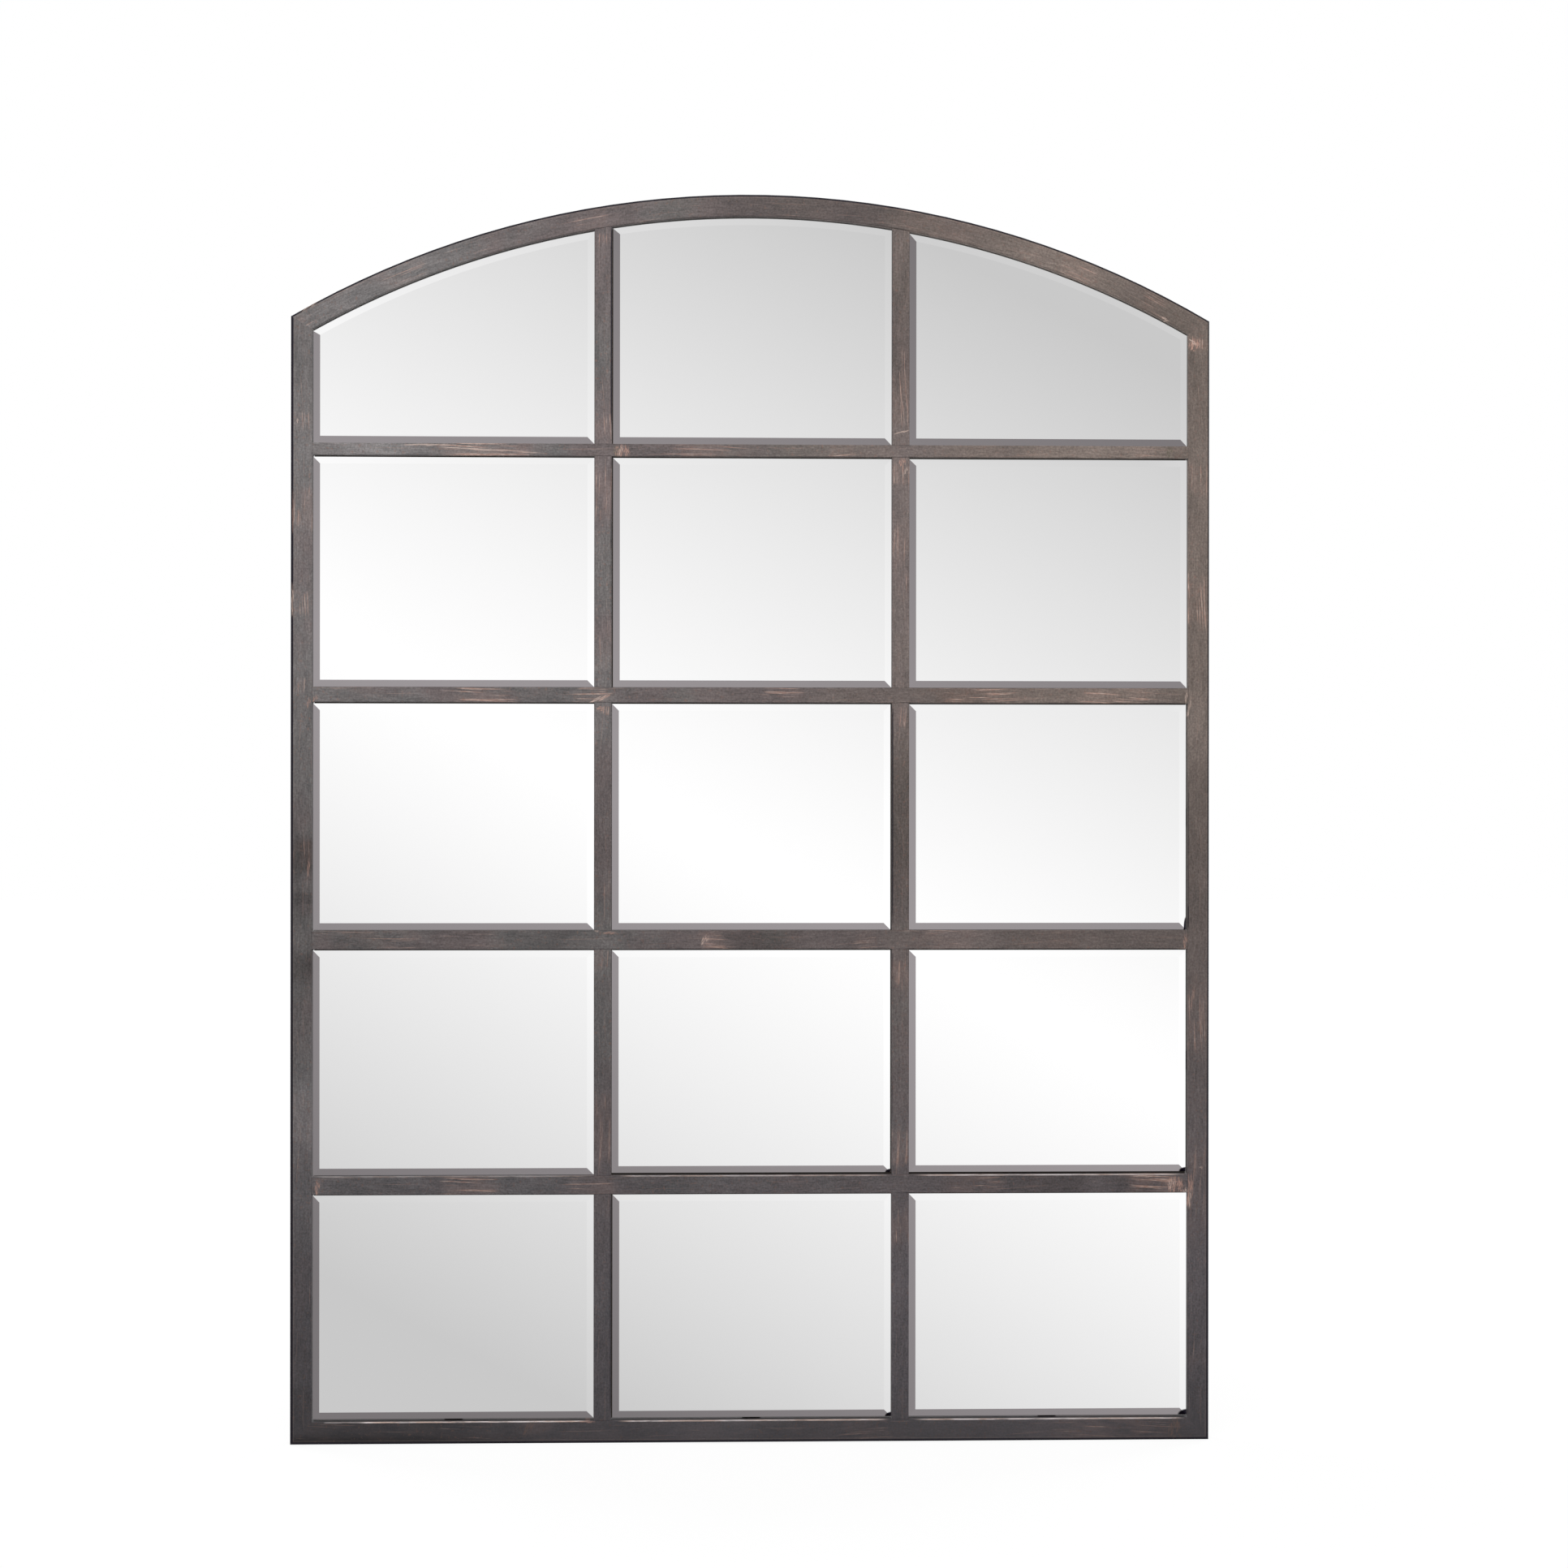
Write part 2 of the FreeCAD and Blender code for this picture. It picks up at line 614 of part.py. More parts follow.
def set_screws(name, screw, places, seat):
    """Copies of a screw with their heads' seats at this depth."""
    copies = []
    for number, (x, z) in enumerate(places, 1):
        copy = doc.addObject("App::Link", f"{name}_{number}")
        copy.LinkedObject = screw
        copies.append(place(copy, x, seat, z))
    group(name, copies)


def make_screws():
    board_screw = make_screw("BoardScrew", "Sheet.board_screw_radius", "Sheet.board_screw_length")
    set_screws("board_screws", board_screw, board_screw_places(), BOARD_BACK)
    hanger_screw = make_screw(
        "HangerScrew", "Sheet.hanger_screw_radius", "Sheet.hanger_screw_length"
    )
    places = [spot for side, sign in SIDES for spot in hanger_screw_places(sign)]
    set_screws("hanger_screws", hanger_screw, places, f"{FRAME_BACK} + Sheet.strap_thickness")


# ---- The hangers and the bumpers ----

def make_strap(side, sign):
    """A strap whose upper end is rolled into an eye, tangent to the back of its plate."""
    name = f"hanger_strap_{side}"
    body = new_body(name, f"{sign} * {STILE_CENTRE}", FRAME_BACK, HANGER_HEIGHT)
    half = "Sheet.strap_width / 2"
    outline = rectangle(f"-{half}", half, "-Sheet.strap_length", "0")
    plate = pad(body, draw_outline(body, "Plate", outline), "Sheet.strap_thickness")
    foot = -value("Sheet.strap_length")
    lower_corners = [
        number
        for number, edge in enumerate(plate.Shape.Edges, 1)
        if abs(edge.BoundBox.ZMax - foot) < 0.01 and edge.BoundBox.XLength < 0.01
    ]
    round_edges(body, plate, lower_corners, "Sheet.strap_corner")
    pivot = ((EYE_HEIGHT, "0"),)
    eye = draw_circles(body, "Eye", pivot, EYE_HEIGHT, half, "YZ_Plane")
    pad(body, eye, "Sheet.strap_width", against=False)
    bore_radius = "Sheet.ring_wire_radius + Sheet.ring_play"
    bore = draw_circles(body, "Bore", pivot, bore_radius, f"-{half}", "YZ_Plane")
    pocket(body, bore, "Sheet.strap_width")
    drops = [("0", "-Sheet.upper_screw_drop"), ("0", "-Sheet.lower_screw_drop")]
    hole_radius = "Sheet.hanger_screw_radius + Sheet.board_hole_gap"
    pocket(body, draw_circles(body, "Holes", drops, hole_radius), "Sheet.strap_thickness")
    keep(body, name)


def make_ring(side, sign):
    """A D-ring of bent wire, hanging from the middle of its straight leg."""
    name = f"hanger_ring_{side}"
    body = new_body(name, f"{sign} * {STILE_CENTRE}", PIVOT_DEPTH, HANGER_HEIGHT)
    leg = f"({RING_HALF} - Sheet.ring_bend)"
    bottom = f"-(Sheet.ring_arm + {RING_HALF})"
    corners = (
        ("0", "0"),
        (leg, "0"),
        (RING_HALF, "-Sheet.ring_bend"),
        (RING_HALF, "-Sheet.ring_arm"),
        ("0", bottom),
        (f"-{RING_HALF}", "-Sheet.ring_arm"),
        (f"-{RING_HALF}", "-Sheet.ring_bend"),
        (f"-{leg}", "0"),
    )
    round_end = ("0", "-Sheet.ring_arm")
    bends = {
        1: (leg, "-Sheet.ring_bend"),
        3: round_end,
        4: round_end,
        6: (f"-{leg}", "-Sheet.ring_bend"),
    }
    path = draw_outline(body, "Path", corners, bends)
    wire = draw_circles(body, "Wire", (("0", "0"),), "Sheet.ring_wire_radius", plane="YZ_Plane")
    pipe = body.newObject("PartDesign::AdditivePipe", "Pipe")
    pipe.Profile = wire
    pipe.Spine = (path, [])
    keep(body, name)


def make_bumpers():
    bumpers = []
    for side, sign in SIDES:
        for end, z in BUMPER_HEIGHTS.items():
            bumper = doc.addObject("Part::Cone", f"bumper_{end}_{side}")
            bumper.setExpression("Radius1", "Sheet.bumper_radius")
            bumper.setExpression("Radius2", "Sheet.bumper_tip_radius")
            bumper.setExpression("Height", "Sheet.bumper_height")
            bumpers.append(place(bumper, f"{sign} * {STILE_CENTRE}", FRAME_BACK, z, Z_TO_WALL))
    group("wall_bumpers", bumpers)


# ---- The whole object ----

for side, sign in SIDES:
    make_stile(side, sign)
make_rail()
make_head()
for number in CROSSBARS:
    make_crossbar(number)
for side, sign in SIDES:
    for row in ROWS:
        make_mullion(side, sign, row)
make_corner_welds()
for row in ROWS:
    for column in COLUMNS:
        make_pane(row, column)
make_tape()
make_board()
make_tabs()
make_screws()
for side, sign in SIDES:
    make_strap(side, sign)
    make_ring(side, sign)
make_bumpers()
doc.recompute()

for item in doc.Objects:
    if "Invalid" in item.State or "Error" in item.State:
        raise RuntimeError(f"{item.Label} failed: {item.State}")
for piece in subparts:
    if piece.Shape.isNull() or not piece.Shape.isValid():
        raise RuntimeError(f"{piece.Label} has no valid shape")

os.makedirs("parts", exist_ok=True)
for piece in subparts:
    piece.Shape.exportStep(f"parts/{piece.Label}.step")
    print(f"{piece.Label}: {len(piece.Shape.Solids)} solids, {piece.Shape.Volume:.0f} mm3")
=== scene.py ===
from math import asin, radians

import bpy
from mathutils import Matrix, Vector


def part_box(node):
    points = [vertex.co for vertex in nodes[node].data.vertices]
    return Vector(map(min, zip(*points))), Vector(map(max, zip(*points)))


# The looks of the arched window mirror: its aged bronze paint, its bevelled mirrors, and the board,
# tape, screws, hangers and bumpers on its back. Metres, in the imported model's own frame: +X to the
# right, +Y back to the wall, +Z up.

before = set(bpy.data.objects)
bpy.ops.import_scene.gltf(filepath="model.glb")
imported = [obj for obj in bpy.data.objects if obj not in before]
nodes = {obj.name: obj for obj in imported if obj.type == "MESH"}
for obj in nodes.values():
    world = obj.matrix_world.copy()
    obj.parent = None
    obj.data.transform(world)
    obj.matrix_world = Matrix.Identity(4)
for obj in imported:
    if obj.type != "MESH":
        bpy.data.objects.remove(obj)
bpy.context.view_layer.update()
scene = bpy.context.scene

SIDES = ("left", "right")
ROWS = (1, 2, 3, 4, 5)
COLUMNS = (1, 2, 3)
CROSSBARS = (1, 2, 3, 4)
MM = 0.001

# The frame's outline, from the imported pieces.
HALF_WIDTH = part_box("stile_right")[1].x
SHOULDER_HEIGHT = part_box("stile_right")[1].z
APEX_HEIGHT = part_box("head_arch")[1].z
HEAD_RISE = APEX_HEIGHT - SHOULDER_HEIGHT
HEAD_RADIUS = (HALF_WIDTH ** 2 + HEAD_RISE ** 2) / (2 * HEAD_RISE)
HEAD_CENTRE = APEX_HEIGHT - HEAD_RADIUS
HEAD_FACE = 26.5 * MM
HEAD_MIDDLE = HEAD_RADIUS - HEAD_FACE / 2
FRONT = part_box("stile_right")[0].y

# ---- The photograph's camera, a standing viewer's eye left of the middle ----
CAMERA_DISTANCE = 4.3
CAMERA_X = -0.1217
CAMERA_HEIGHT = 0.8008
CAMERA_YAW = radians(2.14)
CAMERA_ROLL = radians(0.052)
PHOTO_WIDTH = 1932
FOCAL_PIXELS = 4355.7
SENSOR_WIDTH = 36.0

# Where the middle of the object's foot is in the photograph, and the size of a pixel on its front.
# The worn places below are given in the photograph's pixels.
FOOT_X, FOOT_Y = 924, 1776.5
PIXEL = 0.9872 * MM


def photo_x(pixel):
    return (pixel - FOOT_X) * PIXEL


def photo_z(pixel):
    return (FOOT_Y - pixel) * PIXEL


# ---- Node helpers ----

def add(tree, kind, **settings):
    node = tree.nodes.new(kind)
    for name, setting in settings.items():
        setattr(node, name, setting)
    return node


def feed(tree, socket, value):
    """Sets an input, or links another node's output to it."""
    if isinstance(value, bpy.types.NodeSocket):
        tree.links.new(value, socket)
    else:
        socket.default_value = value


def calc(tree, operation, *values):
    node = add(tree, "ShaderNodeMath", operation=operation)
    for socket, value in zip(node.inputs, values):
        feed(tree, socket, value)
    return node.outputs[0]


def product(tree, *values):
    total = values[0]
    for value in values[1:]:
        total = calc(tree, "MULTIPLY", total, value)
    return total


def step(tree, value, low, high, bottom=0.0, top=1.0):
    """A smooth step of value from low to high."""
    node = add(tree, "ShaderNodeMapRange", interpolation_type="SMOOTHSTEP")
    for name, setting in (("Value", value), ("From Min", low), ("From Max", high),
                          ("To Min", bottom), ("To Max", top)):
        feed(tree, node.inputs[name], setting)
    return node.outputs[0]


def fade_out(tree, value, span, strength=1.0):
    """The strength up to where a span of the value begins, and 0 from its end."""
    return step(tree, value, *span, strength, 0.0)


def mix(tree, factor, first, second, blend="MIX"):
    """A mix of two colours."""
    node = add(tree, "ShaderNodeMix", data_type="RGBA", blend_type=blend)
    feed(tree, node.inputs[0], factor)
    for socket, value in ((node.inputs[6], first), (node.inputs[7], second)):
        feed(tree, socket, value if isinstance(value, bpy.types.NodeSocket) else (*value, 1))
    return node.outputs[2]


def join(tree, x, y, z):
    node = add(tree, "ShaderNodeCombineXYZ")
    for socket, value in zip(node.inputs, (x, y, z)):
        feed(tree, socket, value)
    return node.outputs[0]


def shaded(tree, colour, shade):
    """A colour times a number."""
    return mix(tree, 1.0, colour, join(tree, shade, shade, shade), "MULTIPLY")


def noise(tree, place, scale=1.0, detail=2.0, roughness=0.5, distortion=0.0):
    node = add(tree, "ShaderNodeTexNoise")
    tree.links.new(place, node.inputs["Vector"])
    for name, setting in (("Scale", scale), ("Detail", detail), ("Roughness", roughness),
                          ("Distortion", distortion)):
        node.inputs[name].default_value = setting
    return node.outputs["Fac"]


def place_of(tree):
    """The place of a point of the model, and its three coordinates."""
    coordinates = add(tree, "ShaderNodeTexCoord")
    split = add(tree, "ShaderNodeSeparateXYZ")
    tree.links.new(coordinates.outputs["Object"], split.inputs[0])
    return coordinates.outputs["Object"], *split.outputs


def new_material(name):
    material = bpy.data.materials.new(name)
    material.use_nodes = True
    tree = material.node_tree
    return material, tree, tree.nodes["Principled BSDF"]


def bump(tree, shader, height, distance, strength):
    node = add(tree, "ShaderNodeBump")
    feed(tree, node.inputs["Height"], height)
    node.inputs["Distance"].default_value = distance
    node.inputs["Strength"].default_value = strength
    tree.links.new(node.outputs[0], shader.inputs["Normal"])


def dress(name, material):
    """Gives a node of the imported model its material."""
    piece = nodes[name]
    if not piece.data.materials:
        piece.data.materials.append(material)
    for slot in piece.material_slots:
        slot.material = material


# ---- Aged bronze paint, brushed along each bar and rubbed through to copper ----

BRONZE_WARM = (0.176, 0.144, 0.127)
BRONZE_PLUM = (0.165, 0.140, 0.140)
BRONZE_GREY = (0.157, 0.149, 0.149)
BRONZE_COLD = (0.152, 0.142, 0.158)
COPPER = (0.50, 0.305, 0.248)
COPPER_PALE = (0.75, 0.57, 0.49)
OLIVE = (0.125, 0.115, 0.080)
BROWN = (0.16, 0.105, 0.085)
# Black for painted shade: the shadow lines in corners and seams, the outlines and the panes' open corners.
SHADE_BLACK = (0.010, 0.008, 0.014)
# The near white of the painted highlight on a top arris.
GLINT = (0.95, 0.87, 0.86)

# How light the paint is at each height, from the foot at 0 to the apex at 1: painted shade,
# darkest at the foot as if light fell from above, with lighter and darker bands further up.
HEIGHT_SHADE_TONES = ((0.0, 0.49), (0.02, 0.56), (0.09, 0.67), (0.13, 0.77), (0.21, 0.77), (0.29, 0.85),
                (0.40, 0.89), (0.48, 0.83), (0.57, 1.06), (0.68, 1.14), (0.78, 1.08), (0.86, 0.92),
                (0.94, 0.88), (1.0, 0.76))

# The brush strokes: how fine each pattern is along and across a bar, per metre.
CLOUDS = (24.0, 80.0)
STREAKS = (45.0, 420.0)
HAIRS = (130.0, 900.0)
DASHES = (13.0, 560.0)
PATCHES = (30.0, 30.0)

# How far the strokes wander across a bar, and how often along and across it.
BRUSH_WANDER = 30.0 * MM
BRUSH_TURNS = (4.5, 3.0)

# How much the mottle, clouds, streaks, hairs and grain lighten and darken the paint.
SHADES = (0.5, 0.5, 0.85, 0.8, 1.3)

# The foot's paint: how plain it is at its lowest, up to where, and how dark the painted shade along its lower
# edge is, on the left.
FOOT_CALM, FOOT_HEIGHTS = 0.4, (10.0 * MM, 70.0 * MM)
UNDERSIDE_SHADE, UNDERSIDE_HEIGHTS, UNDERSIDE_SPAN = 0.60, (1.0 * MM, 16.0 * MM), (-0.50, -0.20)

# Copper: the warm cast of a rubbed place, how many of its dashes are worn through, and its flecks.
RUB_CAST = 0.17
WORN_FROM, WORN_MORE, WORN_SOFTNESS = 0.67, 0.15, 0.07
FLECK_SCALE, FLECK_SPAN = 230.0, (0.60, 0.68)
PLAIN_RUB = 0.14

# The lines along the edges: full up to the first distance from the edge, gone at the second.
# A painted shadow line in the corners under the bars, and how dark it is.
CORNER_SHADOW_LINE, CORNER_SHADOW_DARKNESS = (0.2 * MM, 1.2 * MM), 0.6
# How wide the painted highlight on a top arris is.
TOP_SHINE = (0.8 * MM, 1.9 * MM)
# The width of the painted shadow in an open seam.
SEAM_SHADOW_WIDTH = (1.0 * MM, 2.1 * MM)
# The width of the outline of painted shade along an outer edge.
OUTLINE_WIDTH = (1.8 * MM, 3.1 * MM)
# A faint painted highlight just inside the outline: where it rises, where it fades, and how strong it is.
RIM_START, RIM_END, RIM_HIGHLIGHT = (2.5 * MM, 3.2 * MM), (3.2 * MM, 4.6 * MM), 0.05

# Where the outlines change from their width by the foot to that further up.
OUTLINE_HEIGHTS = (0.25, 0.65)

# The ends of rubbed and toned places drift this far along the bar, this often per metre.
DRIFT, DRIFT_SCALE = 50.0 * MM, 28.0

# Places rubbed to copper, along each bar: from, to and how much.
RUBS = {
    "crossbar_1": ((500, 690, 0.8), (800, 935, 0.6), (1020, 1060, 0.5), (1150, 1260, 0.35),
                   (1360, 1440, 0.5)),
    "crossbar_2": ((390, 470, 0.35), (545, 650, 0.7), (690, 756, 0.8), (925, 1000, 0.6), (1120, 1280, 0.85),
                   (1300, 1440, 0.85)),
    "crossbar_3": ((400, 540, 0.45), (590, 640, 0.3), (845, 905, 0.75), (1050, 1080, 0.5), (1110, 1220, 0.6),
                   (1270, 1340, 0.35)),
    "crossbar_4": ((520, 630, 0.65), (690, 765, 0.6), (1140, 1270, 0.65), (1370, 1466, 0.95)),
    "rail_bottom": ((630, 690, 0.35), (1030, 1100, 0.4), (1260, 1470, 0.55)),
    "head_arch": ((330, 400, 0.5), (450, 530, 0.45), (690, 750, 0.5), (1080, 1230, 0.45), (1295, 1360, 0.6),
                  (1395, 1450, 0.5)),
    "stile_left": ((505, 535, 0.4), (590, 670, 0.6), (725, 765, 0.6), (835, 865, 0.5), (1030, 1075, 0.4),
                   (1330, 1420, 0.35)),
    "stile_right": ((405, 435, 0.8), (560, 620, 0.5), (690, 790, 0.7), (1190, 1320, 0.6), (1390, 1560, 0.5),
                    (1640, 1700, 0.3)),
    "mullion_left_1": ((285, 312, 0.6), (505, 548, 0.5)),
    "mullion_left_2": ((563, 660, 0.6), (760, 846, 0.35)),
    "mullion_left_3": ((866, 890, 0.7), (1080, 1146, 0.4)),
    "mullion_left_4": ((1170, 1200, 0.5), (1320, 1449, 0.5)),
    "mullion_left_5": ((1472, 1500, 0.35),),
    "mullion_right_1": ((400, 548, 0.45),),
    "mullion_right_2": ((563, 600, 0.6), (620, 760, 0.5)),
    "mullion_right_3": ((866, 900, 0.5),),
    "mullion_right_4": ((1170, 1220, 0.8), (1380, 1449, 0.6)),
    "mullion_right_5": ((1472, 1560, 0.8),),
}

# Places where the paint is lighter or darker: from, to and what is added to its tone, which is 1.
TONES = {
    "crossbar_1": ((384, 520, 0.44), (620, 920, -0.15), (780, 1100, -0.18), (1270, 1464, 0.24)),
    "crossbar_2": ((520, 760, -0.14), (600, 1290, -0.14), (1120, 1250, -0.20), (1280, 1464, 0.16)),
    "crossbar_3": ((384, 500, -0.12), (600, 740, -0.18), (870, 1000, -0.32), (1130, 1240, 0.20),
                   (1240, 1340, -0.08)),
    "crossbar_4": ((384, 500, -0.08), (770, 890, -0.18), (980, 1090, -0.10), (1130, 1370, -0.16),
                   (1230, 1360, -0.14), (1360, 1440, -0.20)),
    "rail_bottom": ((250, 700, -0.36), (600, 1270, -0.08), (780, 960, 0.22), (1200, 1400, 0.14),
                    (1380, 1560, -0.08)),
    "head_arch": ((340, 600, 0.20), (780, 1200, -0.26), (1190, 1420, 0.24)),
    "stile_left": ((840, 960, -0.10), (970, 1310, -0.14), (1025, 1088, -0.36), (1092, 1128, -0.22),
                   (1163, 1215, -0.30), (1310, 1420, 0.30), (1430, 1820, -0.22), (1660, 1850, -0.20)),
    "stile_right": ((690, 800, -0.10), (820, 960, 0.24), (1250, 1400, -0.08), (1660, 1850, -0.12)),
    "mullion_left_1": ((290, 548, -0.11),),
    "mullion_left_2": ((563, 846, -0.13),),
    "mullion_left_3": ((866, 1146, -0.08),),
    "mullion_left_4": ((1170, 1449, -0.13),),
    "mullion_left_5": ((1472, 1750, -0.08),),
    "mullion_right_1": ((280, 548, -0.22),),
    "mullion_right_2": ((563, 846, -0.05),),
    "mullion_right_3": ((866, 1146, -0.30),),
    "mullion_right_5": ((1472, 1750, 0.08),),
}

# Single marks, most of them round the welds: bar, x, y, length and width in the photograph's
# pixels, turn in degrees (0 lies level, 90 stands upright), colour and strength.
MARKS = (
    ("crossbar_1", 757, 556, 16, 11, 90, OLIVE, 0.7),
    ("crossbar_1", 764, 557, 20, 22, 80, COPPER, 0.6),
    ("crossbar_1", 762, 555, 17, 5, 76, COPPER_PALE, 0.45),
    ("crossbar_1", 522, 549, 60, 2.6, 1, COPPER_PALE, 0.85),
    ("crossbar_1", 580, 554, 90, 2.6, -3, COPPER_PALE, 0.85),
    ("crossbar_1", 640, 557, 70, 2.2, -4, COPPER_PALE, 0.6),
    ("crossbar_1", 1441, 554, 17, 9, 90, OLIVE, 0.7),
    ("crossbar_1", 1451, 560, 14, 10, 90, BROWN, 0.6),
    ("mullion_right_1", 1110, 530.5, 24, 2.2, 14, COPPER_PALE, 0.8),
    ("mullion_right_2", 1109, 568, 12, 10, 80, COPPER, 0.7),
    ("mullion_right_2", 1114, 578, 12, 4, 75, COPPER_PALE, 0.5),
    ("crossbar_2", 736, 861, 32, 6, 24, COPPER_PALE, 0.65),
    ("crossbar_2", 744, 858, 22, 3, 30, COPPER, 0.8),
    ("mullion_left_3", 737.5, 873, 11, 7, 10, COPPER, 0.8),
    ("crossbar_2", 388, 861, 12, 6, 60, COPPER, 0.6),
    ("crossbar_2", 1462, 857, 18, 4, 86, COPPER_PALE, 0.6),
    ("crossbar_3", 733, 1146.5, 6, 3, 0, COPPER_PALE, 0.7),
    ("crossbar_3", 749, 1149, 20, 4, 4, COPPER, 0.7),
    ("crossbar_3", 866, 1158, 16, 9, 62, COPPER_PALE, 0.5),
    ("crossbar_3", 1461, 1160, 22, 6, 88, COPPER, 0.7),
    ("crossbar_4", 391, 1461, 24, 7, 88, COPPER, 0.75),
    ("crossbar_4", 1449, 1462, 24, 26, 80, COPPER, 0.85),
    ("crossbar_4", 1444, 1460, 17, 10, 76, COPPER_PALE, 0.5),
    # A painted highlight along the top arris.
    ("crossbar_4", 1411, 1450.5, 36, 2.4, 0, COPPER_PALE, 0.7),
    ("crossbar_4", 1461, 1470, 14, 6, 70, COPPER_PALE, 0.8),
    ("stile_right", 1466, 1468, 44, 10, 88, COPPER, 0.9),
    ("stile_right", 1467, 1478, 26, 4, 88, COPPER_PALE, 0.7),
    ("stile_right", 1471, 421, 17, 14, 70, COPPER, 1.0),
    ("stile_right", 1470, 418, 15, 4, -35, COPPER_PALE, 0.8),
    ("stile_right", 1481, 1440, 5, 4, 0, COPPER_PALE, 0.5),
    ("stile_right", 1466, 870, 30, 3, 80, COPPER_PALE, 0.6),
    ("stile_right", 1470, 1230, 34, 4, 84, COPPER, 0.5),
    ("head_arch", 1435, 390, 12, 5, -32, COPPER_PALE, 0.6),
    ("head_arch", 382, 379, 30, 4, 34, COPPER_PALE, 0.5),
    ("head_arch", 740, 292, 24, 8, 20, COPPER, 0.45),
    ("head_arch", 1112, 285, 26, 7, -14, COPPER, 0.5),
    ("stile_left", 366, 520, 7, 2.5, 90, COPPER_PALE, 0.7),
    ("stile_left", 360, 740, 46, 3, 90, COPPER_PALE, 0.7),
    ("stile_left", 360.5, 632, 60, 2.5, 90, COPPER, 0.5),
    ("stile_left", 380, 1068, 26, 4, 88, COPPER, 0.6),
    ("stile_left", 380, 866, 16, 5, 80, COPPER, 0.6),
    ("rail_bottom", 722, 1750.5, 22, 3, 0, COPPER, 0.9),
    ("rail_bottom", 1447, 1761, 27, 17, 80, BROWN, 0.7),
    ("rail_bottom", 650, 1757, 26, 10, 60, BROWN, 0.55),
)

# Where a level bar's top edge is rubbed metal with a painted highlight on it: from, to and how much.
GLINTS = {
    "rail_bottom": ((398, 470, 0.35), (440, 728, 1.0), (757, 1095, 0.85), (1123, 1463, 0.85)),
    "crossbar_4": ((384, 731, 0.25), (757, 1097, 0.50), (1123, 1462, 0.75)),
}

# Painted shadow in the open seam between an upright and its pane: side, -1 left or 1 right, from, to
# and how much.
SEAM_SHADOWS = {
    "mullion_left_1": ((1, 270, 534, 0.95),),
    "mullion_left_2": ((1, 560, 680, 0.45), (1, 640, 850, 0.25)),
    "mullion_left_5": ((1, 1470, 1745, 0.65),),
    "mullion_right_3": ((-1, 866, 1140, 0.90),),
    "mullion_right_4": ((-1, 1166, 1200, 0.5), (-1, 1320, 1375, 0.35)),
    "stile_right": ((-1, 965, 1150, 0.45), (-1, 1115, 1146, 0.6), (-1, 1630, 1700, 0.35)),
}

# Painted shadows in the open lower right corners of panes: row, column, and how far the shadow reaches to
# the left and upwards in the photograph's pixels.
PANE_CORNER_SHADOWS = ((3, 3, 2.5, 15), (4, 3, 8, 5), (5, 3, 10, 6.5), (4, 2, 6, 4), (5, 2, 7, 5))

# The side of each outer bar that ends in a black line of painted shade, -1 left or below, 1 right or above,
# and how much thinner than OUTLINE_WIDTH the line is by the foot and further up. Less than 0 is thicker.
OUTLINES = {"stile_left": (-1, -0.8 * MM, -0.6 * MM), "stile_right": (1, -0.4 * MM, 0.6 * MM),
            "rail_bottom": (-1, -0.5 * MM, -0.5 * MM), "head_arch": (1, 0.3 * MM, 0.3 * MM)}


